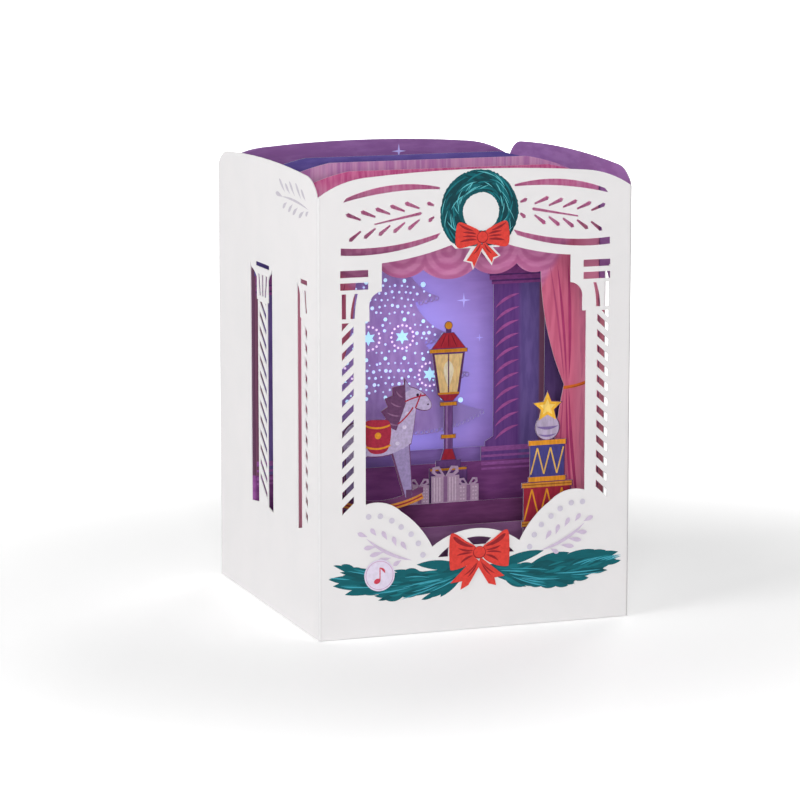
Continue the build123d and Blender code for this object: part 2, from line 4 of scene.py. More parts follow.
import bpy
import numpy as np
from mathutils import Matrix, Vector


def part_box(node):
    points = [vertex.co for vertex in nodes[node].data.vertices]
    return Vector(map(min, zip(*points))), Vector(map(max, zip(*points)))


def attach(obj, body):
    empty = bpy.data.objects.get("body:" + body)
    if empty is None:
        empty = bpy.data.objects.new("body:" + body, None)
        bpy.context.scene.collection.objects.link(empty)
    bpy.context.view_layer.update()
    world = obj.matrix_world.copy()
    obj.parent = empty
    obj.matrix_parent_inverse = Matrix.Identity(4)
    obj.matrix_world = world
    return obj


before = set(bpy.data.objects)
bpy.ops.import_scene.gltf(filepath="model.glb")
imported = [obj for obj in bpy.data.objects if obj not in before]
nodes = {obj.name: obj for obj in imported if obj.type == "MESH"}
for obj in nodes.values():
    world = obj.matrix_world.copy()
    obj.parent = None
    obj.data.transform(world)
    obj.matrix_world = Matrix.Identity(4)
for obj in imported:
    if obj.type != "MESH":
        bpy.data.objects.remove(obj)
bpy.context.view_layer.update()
rng = np.random.default_rng(11)

# Millimetres, in the model's own frame, unless a line says otherwise
MM = 0.001
INK_LIFT = 0.02  # first ink over the card
INK_STEP = 0.004  # each further ink over the one before
STROKE_STEP = 0.0006  # each stroke of one ink over the stroke before
STROKE_TIP = 0.03  # width of a stroke's ends, as a share


def low(node, axis):
    """Where a CAD node starts along an axis."""
    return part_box(node)[0][axis] / MM


def high(node, axis):
    """Where a CAD node ends along an axis."""
    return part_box(node)[1][axis] / MM


# Walls and sheets, as the CAD has them
EDGE = high("sleeve", 0)
FRONT = low("sleeve", 1)
CARD = low("unit_case", 1) - FRONT
SHEET = high("gift_stack", 1) - low("gift_stack", 1)
INNER = EDGE - CARD
RAIL_Y = low("toy_rail", 1)
CURTAIN_Y = low("curtain_frame", 1)
BORDER_Y = high("border_frame", 1) - SHEET
GIFT_Y = low("gift_stack", 1)
COLUMN_Y = low("column_frame", 1)
LAMP_POST_Y = low("lamp_post", 1)
TREE_Y = low("tree", 1)

# Heights on the walls and sheets
STEP_ONE = 29.1
STEP_TWO = 33.0
STEP_THREE = 41.5
TREE_STRIP = 43.0
LINTEL = 110.0
CURTAIN_CUSP = 115.2  # between two scallops of the valance
BOW_FOOT = 125.7  # lower edge of the card round the wreath
WALL_CORNER = 143.0  # where the back wall's arched top starts
WALL_ARCH = 7.5  # rise of that top in the middle
WALL_POWER = 4.4  # of the share across, which the top sinks by

# Other places on the sheets
SHEET_BEND = 0.7  # from the walls to where a stage sheet's fold starts
PRINT_DEPTH = 0.03  # of a sheet's printed faces, over its white core
PAPER_CORE = (0.74, 0.72, 0.74, 1)
FOLD_SHADE = 0.45  # share of painted shade, in grey, along the card's creases
SHAFT_TURN = 42.4  # from the lit face of a column to its shaded one
VALANCE_SCALLOPS = ((0.0, 121.4), (16.6, 122.2), (-16.6, 122.2), (31.4, 122.6), (-31.4, 122.6))

# Fir: the tips of its tiers, the notches over them, its top, its cut stars and its rows of dots and holes
FIR_TIP_X = 36.5 - 5.7 * np.arange(6)
FIR_TIP_Z = 56.0 + 13.7 * np.arange(6)
FIR_NOTCH = 0.56  # share of the next tip's reach
FIR_NOTCH_DROP = 1.9  # under the next tip
FIR_TOP = 138.0
FIR_STARS = np.array(((-16.4, 69.7), (16.4, 69.7), (-6.2, 83.4), (6.2, 83.4), (0.0, 110.8)))
FIR_ROW_START = 2.2  # first row over the tips of its tier
FIR_ROW_END = 14.6  # last row over them
FIR_DROOP = 4.2  # of a row from its middle to its ends
FIR_DOT_PITCH = 2.35
FIR_HOLE_PITCH = 7.0

# Garland: a wing's start beside its middle, its length, height, sag, and the power that skews the sag
WING_MIDDLE = 1.2
WING_START = 3.5
WING_LONG = 43.5
WING_HEIGHT = 19.8
WING_SAG = 3.4
WING_SKEW = 0.85

# Light, in watts for the lamps
WORLD = 0.2
FRONT_LAMP = 16.5
LEFT_LAMP = 23.0
BACK_LAMP = 17.0
GLOW_LAMP = 0.0155


def srgb(red, green, blue):
    """Colour as seen on screen, 0 to 255, to linear light: the usual power curve with a straight foot."""
    value = np.array((red, green, blue)) / 255
    line = np.where(value <= 0.04045, value / 12.92, ((value + 0.055) / 1.055) ** 2.4)
    return (*line.tolist(), 1.0)


# Shader maths


class Socket:
    """A node's output. Arithmetic on it adds Math nodes."""

    def __init__(self, finish, link):
        self.finish = finish
        self.link = link

    def maths(self, operation, *values):
        """Math node that works on the values."""
        return self.finish.node("ShaderNodeMath", dict(enumerate(values)), operation=operation)

    def __add__(self, other):
        return self.maths("ADD", self, other)

    __radd__ = __add__

    def __sub__(self, other):
        return self.maths("SUBTRACT", self, other)

    def __rsub__(self, other):
        return self.maths("SUBTRACT", other, self)

    def __mul__(self, other):
        return self.maths("MULTIPLY", self, other)

    def __lt__(self, other):
        return self.maths("LESS_THAN", self, other)

    def __gt__(self, other):
        return self.maths("GREATER_THAN", self, other)

    def __abs__(self):
        return self.maths("ABSOLUTE", self)

    def larger(self, other):
        return self.maths("MAXIMUM", self, other)

    def smaller(self, other):
        return self.maths("MINIMUM", self, other)

    def root(self):
        return self.maths("SQRT", self)

    def sine(self):
        return self.maths("SINE", self)


class Finish:
    """A material, or the world, and its nodes."""

    def __init__(self, name, world=False):
        self.material = bpy.data.worlds.new(name) if world else bpy.data.materials.new(name)
        self.material.use_nodes = True
        self.tree = self.material.node_tree
        self.tree.nodes.clear()

    def node(self, kind, inputs=None, out=0, **settings):
        """Any node: its settings first, then the values or links of its sockets."""
        made = self.tree.nodes.new(kind)
        for key, value in settings.items():
            setattr(made, key, value)
        for key, value in (inputs or {}).items():
            if isinstance(value, Socket):
                self.tree.links.new(value.link, made.inputs[key])
            else:
                made.inputs[key].default_value = value
        return Socket(self, made.outputs[out]) if made.outputs else None

    def place(self):
        """Object coordinates in millimetres: across, depth and height."""
        spot = self.node("ShaderNodeTexCoord", out="Object")
        split = [self.node("ShaderNodeSeparateXYZ", {0: spot}, out=axis) for axis in range(3)]
        return [axis * (1 / MM) for axis in split]

    def noise(self, size, stretch=(1, 1, 1), detail=3.0):
        """Noise whose grains are about size millimetres, longer along an axis with a large stretch."""
        spot = self.node("ShaderNodeTexCoord", out="Object")
        scale = tuple(1 / (size * MM * s) for s in stretch)
        spot = self.node("ShaderNodeMapping", {"Vector": spot, "Scale": scale})
        inputs = {"Vector": spot, "Scale": 1.0, "Detail": detail, "Roughness": 0.55}
        return self.node("ShaderNodeTexNoise", inputs)

    def blend(self, factor, first, second, how="MIX"):
        """Colour from first to second as factor goes from 0 to 1."""
        inputs = {0: factor, 6: first, 7: second}
        return self.node("ShaderNodeMix", inputs, out=2, data_type="RGBA", blend_type=how)

    def between(self, value, start, end):
        """0 below start and 1 above end, with a smooth rise."""
        inputs = {"Value": value, "From Min": start, "From Max": end}
        return self.node("ShaderNodeMapRange", inputs, interpolation_type="SMOOTHSTEP")

    def seen(self):
        """1 where the camera looks at a surface straight, in a mirror or through glass, and 0 elsewhere."""
        rays = ("Is Camera Ray", "Is Glossy Ray", "Is Transmission Ray")
        straight, mirrored, through = (self.node("ShaderNodeLightPath", out=ray) for ray in rays)
        return straight.larger(mirrored).larger(through)

    def core(self, colour, x, y, front):
        """White paper between the printed faces of a sheet with this front, but not on its folds."""
        within = (y > front + PRINT_DEPTH) * (y < front + SHEET - PRINT_DEPTH)
        return self.blend(within * (abs(x) < INNER - SHEET_BEND), colour, PAPER_CORE)

    def surface(self, inputs):
        """Ends the nodes in a surface with these inputs."""
        body = self.node("ShaderNodeBsdfPrincipled", inputs)
        self.node("ShaderNodeOutputMaterial", {"Surface": body})
        return self.material

    def paper(self, colour, grain=0.25, rough=0.72, glow=None, strength=0.0):
        """Matt coated card: fine fibre bump, low sheen and a colour from the nodes."""
        fibre = self.noise(0.22, detail=4.0) + self.noise(1.6) * 0.6
        bump = self.node("ShaderNodeBump", {"Strength": grain, "Distance": 0.00004, "Height": fibre})
        inputs = {"Base Color": colour, "Normal": bump, "Specular IOR Level": 0.18}
        inputs["Roughness"] = rough + (self.noise(3.0) - 0.5) * 0.1
        if glow is not None:
            inputs["Emission Color"] = glow
            inputs["Emission Strength"] = strength
        return self.surface(inputs)


def make_piece(name, points, faces, material):
    """Object in the scene, from points in millimetres."""
    mesh = bpy.data.meshes.new(name)
    mesh.from_pydata((points * MM).tolist(), [], faces)
    mesh.materials.append(material)
    piece = bpy.data.objects.new(name, mesh)
    bpy.context.scene.collection.objects.link(piece)
    return piece


def dress(name, material):
    """Gives a CAD node its finish."""
    slots = nodes[name].data.materials
    slots.clear()
    slots.append(material)


# Flat shapes, as arrays of points (across, up) and of faces, and the number of points in each stroke


def at(across, up):
    """Points from places across and heights, where either may be one number for all."""
    return np.stack(np.broadcast_arrays(across, up), -1)


def even_angles(count):
    """Angles at even steps round a circle."""
    return 2 * np.pi * np.arange(count) / count


def spokes(angle):
    """Points at angles round a circle of radius 1."""
    return at(np.cos(angle), np.sin(angle))


def grid(across, up):
    """Points at each place across and each height."""
    return at(*np.meshgrid(across, up)).reshape(-1, 2)


def pointed(t):
    """Brush stroke: widest in the middle, fine at both ends."""
    return STROKE_TIP + np.sin(np.pi * t) ** 0.8


def teardrop(t):
    """Leaf: a point at its start and a round end."""
    return STROKE_TIP + np.sin(np.pi * t**1.7) ** 0.7


def banded(t):
    """Ribbon: an even width, cut straight."""
    return np.ones_like(t)


def strokes(start, end, bow, wide, profile=pointed, steps=9):
    """Strokes along parabolas from start to end, whose middle stands off to the left by bow."""
    start, end = np.atleast_2d(start, end)
    count = len(start)
    bow, wide = np.broadcast_to(bow, count), np.broadcast_to(wide, count)
    t = np.linspace(0, 1, steps)
    run = end - start
    side = at(-run[:, 1], run[:, 0]) / np.linalg.norm(run, axis=1)[:, None]
    arch = 4 * bow[:, None] * t * (1 - t)
    middle = start[:, None] + run[:, None] * t[:, None] + side[:, None] * arch[..., None]
    course = np.gradient(middle, axis=1)
    course /= np.linalg.norm(course, axis=2)[..., None]
    half = 0.5 * wide[:, None] * profile(t)
    offset = at(-course[..., 1], course[..., 0]) * half[..., None]
    points = np.stack((middle + offset, middle - offset), 2).reshape(-1, 2)
    cell = np.array((0, 1, 3, 2))
    faces = cell + 2 * np.arange(steps - 1)[:, None] + 2 * steps * np.arange(count)[:, None, None]
    return points, faces.reshape(-1, 4), 2 * steps


def strokes_of(rows, *look):
    """Strokes from rows that each hold a start and an end."""
    rows = np.array(rows)
    return strokes(rows[:, :2], rows[:, 2:], *look)


def ovals(middle, across, up=None, turn=0.0, sides=18):
    """Filled ellipses: the cosine across and the sine up, turned by an angle in degrees."""
    middle = np.atleast_2d(middle)
    across = np.broadcast_to(across, len(middle))
    up = across if up is None else np.broadcast_to(up, len(middle))
    angle = even_angles(sides)
    x = across[:, None] * np.cos(angle)
    z = up[:, None] * np.sin(angle)
    cosine, sine = math.cos(math.radians(turn)), math.sin(math.radians(turn))
    points = (middle[:, None] + at(x * cosine - z * sine, x * sine + z * cosine)).reshape(-1, 2)
    return points, np.arange(len(points)).reshape(-1, sides), sides


def stars(middle, outer, inset, tips):
    """Filled stars: the radius goes from outer to inset and back at each tip."""
    middle = np.atleast_2d(middle)
    outer = np.broadcast_to(outer, len(middle))
    angle = np.pi / 2 + np.pi * np.arange(2 * tips) / tips
    reach = np.where(np.arange(2 * tips) % 2 == 0, 1.0, inset) * outer[:, None]
    points = (middle[:, None] + reach[..., None] * spokes(angle)).reshape(-1, 2)
    return points, np.arange(len(points)).reshape(-1, 2 * tips), 2 * tips


def hoop(middle, outside, hole, inside):
    """Ring between two circles, each with its own middle and a radius that may change round it."""
    count = max(np.size(inside), np.size(outside), 48)
    circle = spokes(even_angles(count))
    near = np.asarray(hole) + circle * np.broadcast_to(inside, count)[:, None]
    far = np.asarray(middle) + circle * np.broadcast_to(outside, count)[:, None]
    here = np.arange(count)
    there = (here + 1) % count
    faces = np.stack((here, here + count, there + count, there), 1)
    return np.concatenate((near, far)), faces, 2 * count


def patch(*points):
    """Filled polygon."""
    points = np.array(points, float)
    return points, np.arange(len(points))[None], len(points)


def rounded(*points, per=5):
    """Filled shape inside a closed Catmull-Rom curve through the points."""
    p = np.array(points, float)
    a, b, c, d = (np.roll(p, -shift, axis=0)[:, None] for shift in (-1, 0, 1, 2))
    t = np.arange(per)[:, None] / per
    curve = 2 * b + (c - a) * t + (2 * a - 5 * b + 4 * c - d) * t**2 + (3 * b - a - 3 * c + d) * t**3
    return patch(*(curve / 2).reshape(-1, 2))


def bars(left, right, foot, head):
    """Filled upright rectangles."""
    left, right, foot, head = np.broadcast_arrays(*np.atleast_1d(left, right, foot, head))
    points = np.stack((left, foot, right, foot, right, head, left, head), 1).reshape(-1, 2)
    return points, np.arange(len(points)).reshape(-1, 4), 4


def flipped(shape):
    """Mirror image across the middle."""
    points, *rest = shape
    return points * np.array((-1, 1)), *rest


def trimmed(shape, foot):
    """Shape whose points under a height are lifted to it."""
    points, *rest = shape
    return np.maximum(points, (-np.inf, foot)), *rest


# Inks


TO_FRONT, TO_BACK, TO_LEFT, TO_RIGHT = np.array(((0, -1, 0), (0, 1, 0), (-1, 0, 0), (1, 0, 0)))


class Ink:
    """Shapes printed on one face of a sheet, each ink and each stroke a hair over the one before. The face
    looks along out and lies at a place on that axis."""

    def __init__(self, name, out, place, slot, over=0.0, foot=(0.0, 0.0)):
        self.name = name
        self.out = out
        self.axis = np.flatnonzero(out)[0]
        self.place = place
        self.slot = slot
        self.foot = np.array(foot)
        self.lift = INK_LIFT + over
        self.points, self.faces, self.tints = [], [], []
        self.count = 0

    def add(self, shape, tint):
        """Prints a shape in one colour, placed from the foot, with its faces turned to the viewer."""
        flat, faces, per = shape
        order = np.arange(len(flat)) // per
        lift = self.lift + STROKE_STEP * order
        points = np.insert(flat + self.foot, self.axis, self.place, axis=1) + np.outer(lift, self.out)
        ring = points[faces]
        normal = np.cross(ring, np.roll(ring, -1, axis=1)).sum(axis=1)
        away = normal @ self.out < 0
        faces = np.where(away[:, None], faces[:, ::-1], faces)
        self.points.append(points)
        self.faces += (faces + self.count).tolist()
        self.tints.append(np.repeat([srgb(*tint)], faces.size, axis=0))
        self.count += len(points)
        self.lift += STROKE_STEP * order[-1] + INK_STEP

    def pair(self, shape, tint):
        """Prints a shape and its mirror image."""
        self.add(shape, tint)
        self.add(flipped(shape), tint)

    def done(self, material):
        """Makes the piece, with the tints on its faces' corners, and lets it ride on the card."""
        piece = make_piece(self.name, np.concatenate(self.points), self.faces, material)
        tint = piece.data.color_attributes.new("tint", "FLOAT_COLOR", "CORNER")
        tint.data.foreach_set("color", np.concatenate(self.tints).ravel())
        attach(piece, "card")


def ink_finish(name, depth, size, stretch=(1, 1, 1), strength=0.0):
    """Brushed ink: the tint goes lighter and darker with a fine streaked noise."""
    f = Finish(name)
    tint = f.node("ShaderNodeAttribute", out="Color", attribute_name="tint")
    streak = f.between(f.noise(size, stretch, detail=5.0), 0.3, 0.7)
    dark, light = ((tone, tone, tone, 1) for tone in (1 - depth, 1 + depth))
    colour = f.blend(1.0, tint, f.blend(streak, dark, light), how="MULTIPLY")
    # a strength makes the ink glow in its own colour: painted light
    if strength:
        return f.paper(colour, glow=colour, strength=strength)
    return f.paper(colour, grain=0.15, rough=0.6)


# Paper finishes of the CAD sheets


def span(across, up):
    """Distance by Pythagoras."""
    return (across * across + up * up).root()


def brushed(f, first, second, size, stretch):
    """Two close colours in long streaks."""
    streak = f.between(f.noise(size, stretch, detail=5.0), 0.35, 0.65)
    return f.blend(streak, srgb(*first), srgb(*second))


def sleeve_finish():
    """White card with painted shade, in grey, along its folds. Its inner side, which lies within the inner
    faces, is purple, and rose beside the curtain's front bay."""
    f = Finish("white_card")
    x, y, z = f.place()
    mottle = f.between(f.noise(18.0), 0.3, 0.7)
    white = f.blend(mottle, (0.80, 0.785, 0.79, 1), (0.82, 0.80, 0.805, 1))
    crease = 1.2
    # painted shade: grey blended in along the creases of the corners
    fold = f.between(abs(x).smaller(abs(y)), EDGE - crease, EDGE - 0.2)
    white = f.blend(fold * FOLD_SHADE, white, (0.5, 0.49, 0.5, 1))
    purple = brushed(f, (146, 100, 160), (160, 114, 174), 2.5, (4, 4, 1))
    rose = brushed(f, (200, 128, 144), (212, 140, 154), 2.5, (4, 4, 1))
    purple = f.blend((y < CURTAIN_Y) * (abs(x) > INNER - 0.3) * (z < LINTEL), purple, rose)
    inside = abs(x).larger(abs(y)) < INNER + 0.02
    return f.paper(f.blend(inside, white, purple))


def curtain_finish():
    """Rose drapes, a valance with rings of soft folds round each scallop's middle, and a mauve step."""
    f = Finish("curtain_card")
    x, y, z = f.place()
    drape = brushed(f, (204, 100, 132), (218, 116, 146), 1.6, (1, 1, 9))
    drape = f.blend(f.between(abs(x), 43.0, 50.0), drape, srgb(236, 150, 178))
    rose = brushed(f, (200, 84, 138), (220, 122, 168), 1.3, (1, 1, 8))
    away = None
    for middle, height in VALANCE_SCALLOPS:
        reach = span(x - middle, z - height)
        away = reach if away is None else away.smaller(reach)
    pitch, waver = 3.6, 3.0
    fold = (away * (2 * math.pi / pitch) + f.noise(5.0) * waver).sine()
    light = brushed(f, (204, 122, 170), (216, 140, 184), 2.4, (3, 1, 1))
    valance = f.blend(f.between(fold, -0.9, 0.7) * 0.5 + 0.5, srgb(172, 78, 130), light)
    # painted light: the band of the valance behind the front wall is lighter than the rose top strip above
    # it, standing in for light that the front wall keeps off it
    painted_light_band = brushed(f, (248, 134, 186), (255, 168, 208), 1.3, (1, 1, 8))
    painted_light_band = f.blend(f.between(z, CURTAIN_CUSP + 26, CURTAIN_CUSP + 31), painted_light_band, rose)
    valance = f.blend(f.between(z, CURTAIN_CUSP + 5, CURTAIN_CUSP + 12), valance, painted_light_band)
    hung = f.between(z - (abs(x) - 33.0).larger(0.0) * 1.5, CURTAIN_CUSP - 9.0, CURTAIN_CUSP - 4.0)
    riser = brushed(f, (136, 90, 136), (150, 104, 150), 2.0, (5, 1, 1))
    colour = f.blend(z < STEP_ONE, f.blend(hung, drape, valance), riser)
    return f.paper(f.core(colour, x, y, CURTAIN_Y))


def border_finish():
    """Pink and lavender upright brush stripes over navy legs and a plum step."""
    f = Finish("border_card")
    x, y, z = f.place()
    wide = f.between(f.noise(2.6, (1, 1, 14), detail=2.0), 0.38, 0.62)
    fine = f.between(f.noise(0.9, (1, 1, 18), detail=3.0), 0.45, 0.7)
    stripe = f.blend(wide, srgb(184, 122, 180), srgb(208, 150, 194))
    stripe = f.blend(fine * 0.55, stripe, srgb(218, 178, 210))
    leg = brushed(f, (84, 60, 114), (98, 72, 128), 1.8, (1, 1, 6))
    riser = brushed(f, (110, 56, 106), (124, 66, 118), 2.0, (5, 1, 1))
    colour = f.blend(f.between(z, CURTAIN_CUSP - 7.0, CURTAIN_CUSP - 3.0), leg, stripe)
    return f.paper(f.core(f.blend(z < STEP_TWO, colour, riser), x, y, BORDER_Y))


def column_finish():
    """Navy lintel, shafts that turn navy past their lit face and brown by the fold, and a plum step."""
    f = Finish("column_card")
    x, y, z = f.place()
    navy = brushed(f, (98, 84, 158), (112, 96, 172), 2.2, (4, 1, 1))
    lit = brushed(f, (104, 64, 138), (118, 74, 150), 1.4, (1, 1, 10))
    dark = brushed(f, (104, 84, 150), (120, 98, 166), 1.8, (1, 1, 6))
    shaft = f.blend(f.between(abs(x), SHAFT_TURN - 0.6, SHAFT_TURN + 1.6), lit, dark)
    shaft = f.blend(f.between(abs(x), 49.6, 50.6), shaft, srgb(124, 78, 104))
    tab = abs(x) > INNER - SHEET_BEND
    shaft = f.blend(tab, shaft, srgb(86, 52, 76))
    slot_head = 6.0  # the side slots, which show the tab, go on over the lintel's foot
    colour = f.blend(z - tab * slot_head > LINTEL - 0.5, shaft, navy)
    riser = brushed(f, (122, 62, 126), (136, 74, 138), 2.0, (5, 1, 1))
    return f.paper(f.core(f.blend(z < STEP_THREE, colour, riser), x, y, COLUMN_Y))


def tree_finish():
    """Lavender fir, greyer towards its tips, on a blue-lavender strip, all with a painted glow."""
    f = Finish("tree_card")
    x, y, z = f.place()
    fir = brushed(f, (184, 146, 226), (202, 166, 240), 2.6, (1, 1, 3))
    fir = f.blend(f.between(abs(x), 4.0, 34.0), fir, srgb(164, 142, 212))
    strip = brushed(f, (142, 110, 186), (156, 124, 200), 2.0, (6, 1, 1))
    colour = f.core(f.blend(z < TREE_STRIP, fir, strip), x, y, TREE_Y)
    # painted light: the card, its strip and the paper rings that share this finish glow in their own
    # colour, as if the lamp shone through
    return f.paper(colour, glow=colour, strength=0.08)


def plain_finish(name, front, first, second, size=1.6, stretch=(1, 1, 4)):
    """Two close tones in streaks, short and upright unless a stretch says otherwise."""
    f = Finish(name)
    x, y, _ = f.place()
    return f.paper(f.core(brushed(f, first, second, size, stretch), x, y, front))


def moulded(name, colour, rough, metal=0.0):
    """Moulded plastic or metal with a faint uneven polish."""
    f = Finish(name)
    bump = f.node("ShaderNodeBump", {"Strength": 0.1, "Distance": 0.00003, "Height": f.noise(0.5)})
    gloss = rough + (f.noise(2.0) - 0.5) * 0.12
    tone = f.blend(f.between(f.noise(5.0), 0.3, 0.7), (*colour, 1), (*(0.9 * c for c in colour), 1))
    return f.surface({"Base Color": tone, "Roughness": gloss, "Normal": bump, "Metallic": metal})


def lamp_finish():
    """Lit lamp: pale blue light, whitest in the middle."""
    f = Finish("lamp_lit")
    x, _, z = f.place()
    middle = (high("lamp", 2) + low("lamp", 2)) / 2
    light = f.blend(f.between(span(x, z - middle), 0.4, 2.6), (1, 1, 1, 1), (0.62, 0.7, 1, 1))
    inputs = {"Base Color": (0.9, 0.93, 1, 1), "Roughness": 0.3, "Emission Color": light}
    return f.surface(inputs | {"Emission Strength": 9.0})


# Prints on the front wall


TEAL_DEEP = (6, 58, 66)
TEAL_DARK = (9, 78, 86)
TEAL = (11, 92, 101)
TEAL_MID = (22, 112, 122)
TEAL_BLUE = (62, 158, 176)
TEAL_LIGHT = (96, 188, 196)
RED = (216, 64, 56)
RED_DARK = (142, 36, 42)
SPRIG = (205, 189, 212)
DOT = (206, 199, 214)
GOLD = (228, 150, 44)


def uneven(count, size):
    """Ragged radius: a few sine waves round the ring and some jitter."""
    angle = even_angles(count)
    waves = sum(np.sin(k * angle + rng.uniform(0, 6.28)) / k for k in (3, 5, 9, 14, 23))
    return size * (waves + rng.normal(0, 0.35, count))


def swirl(middle, count, band, sweep, wide, slant):
    """Strokes round a ring: each runs along a short arc, drifts across the band by a random slant and bows
    by the arc's own rise."""
    angle = rng.uniform(0, 2 * np.pi, count)
    turn = rng.uniform(*sweep, count)
    first = rng.uniform(*band, count)
    last = np.clip(first + rng.normal(0, slant, count), *band)
    start = middle + first[:, None] * spokes(angle)
    end = middle + last[:, None] * spokes(angle + turn)
    bow = -0.5 * (first + last) * (1 - np.cos(turn / 2))
    return strokes(start, end, bow, rng.uniform(*wide, count))


def print_wreath():
    """Wreath over the window: a dark ring with strokes in four tones that each follow a short arc of it."""
    ink = Ink("wreath_print", TO_FRONT, FRONT, "white_card")
    middle, hole = np.array((0.6, 136.9)), np.array((1.25, 136.75))
    band = (7.0, 12.8)
    sides = 144
    ring = hoop(middle, 13.4 + uneven(sides, 0.24), hole, 6.2 + uneven(sides, 0.15))
    layers = (  # strokes, their sweep in radians, widths, slant and tint
        (40, (0.5, 1.0), (0.9, 1.5), 1.2, TEAL),
        (56, (0.5, 1.0), (0.7, 1.3), 1.4, TEAL_DEEP),
        (26, (0.4, 0.9), (0.35, 0.6), 2.0, TEAL_MID),
        (50, (0.3, 0.8), (0.16, 0.34), 2.2, TEAL_LIGHT),
    )
    ink.add(trimmed(ring, BOW_FOOT), TEAL_DARK)
    for count, sweep, wide, slant, tint in layers:
        ink.add(trimmed(swirl(middle, count, band, sweep, wide, slant), BOW_FOOT), tint)
    ink.done(ink_finish("wreath_ink", 0.14, 0.8))


def wing(hand, share):
    """Points on the spine of a wing of the garland, which sinks by a sine of the share of its length."""
    sag = WING_SAG * np.sin(np.pi * share**WING_SKEW)
    return at(WING_MIDDLE + hand * (WING_START + WING_LONG * share), WING_HEIGHT - sag)


def print_garland():
    """Garland along the foot, in two wings that swell by a sine of the share of their length. Strokes leave
    the spine at small angles, the broad ones first and the fine ones on top. Long fronds end in the tips
    listed."""
    ink = Ink("garland_print", TO_FRONT, FRONT, "white_card")
    fronds = np.array((
        (-4, 20.6, -20.6, 22.7), (6, 19.8, 23.6, 24.2), (-30, 18.6, -46.3, 22.8), (-34, 17.4, -50.7, 20.0),
        (-34, 16.6, -49.2, 17.7), (-29, 16.4, -45.2, 14.6), (-18, 17.4, -32.7, 13.0),
        (-5, 19.4, -15.2, 11.8), (-4, 19.6, -12.4, 11.4), (18, 19.0, 32.8, 22.9), (26, 18.6, 41.6, 23.3),
        (32, 18.8, 45.8, 22.7), (34, 18.6, 50.2, 21.9), (34, 18.0, 49.6, 19.4), (24, 17.2, 39.7, 15.7),
        (20, 16.6, 35.7, 13.6), (8, 18.4, 25.8, 12.0)))
    layers = (  # strokes, their widths, lengths, spread and tint
        (46, (1.3, 2.1), (6, 10), 1.0, TEAL),
        (30, (0.8, 1.4), (5, 9), 0.9, TEAL_DARK),
        (24, (0.5, 0.9), (5, 8), 0.85, TEAL_MID),
        (16, (0.26, 0.46), (8, 15), 0.6, TEAL_BLUE),
    )
    fan, jitter = 0.27, 0.08  # radians
    least, most = (-50.6, 9.6), (51.2, 24.5)
    ink.add(strokes_of(fronds, 0.3 * np.sign(fronds[:, 2]), 3.2), TEAL)
    for hand in (-1, 1):
        share = np.linspace(0, 1, 25)
        spine = wing(hand, share)
        girth = at(0, 1.2 + 2.8 * np.sin(np.pi * share) ** 0.6)
        ink.add(patch(*(spine + girth), *(spine - girth)[::-1]), TEAL)
        for count, wide, length, spread, tint in layers:
            share = rng.uniform(0.02, 0.95, count)
            fall = np.pi * WING_SKEW * share ** (WING_SKEW - 1) * np.cos(np.pi * share**WING_SKEW)
            girth = 0.8 + 2.6 * np.sin(np.pi * share) ** 0.6
            side = rng.uniform(-1, 1, count)
            start = wing(hand, share) + at(0, side * girth * spread)
            angle = np.arctan(-WING_SAG * fall / WING_LONG) + fan * side * spread
            angle += rng.normal(0, jitter, count)
            reach = rng.uniform(*length, count) * (1 - 0.2 * share)
            end = start + reach[:, None] * at(hand * np.cos(angle), np.sin(angle))
            bow = hand * side * rng.uniform(0.1, 0.7, count)
            ink.add(strokes(start, np.clip(end, least, most), bow, rng.uniform(*wide, count)), tint)
    ink.done(ink_finish("garland_ink", 0.12, 0.9, (4, 1, 1)))


def tie_bow(ink, foot, tails, loops, folds, knot, button):
    """Ribbon bow about a foot: tails, the shapes of each loop, dark folds, and a knot with a dark rim."""
    ink.foot = np.array(foot)
    for tail in tails:
        ink.add(patch(*tail), RED)
    for loop, tint in loops:
        ink.pair(rounded(*loop), tint)
    ink.pair(strokes(*folds), RED_DARK)
    ink.add(ovals((0, 0), *knot), RED_DARK)
    ink.add(ovals((0, 0.1), *button), RED)


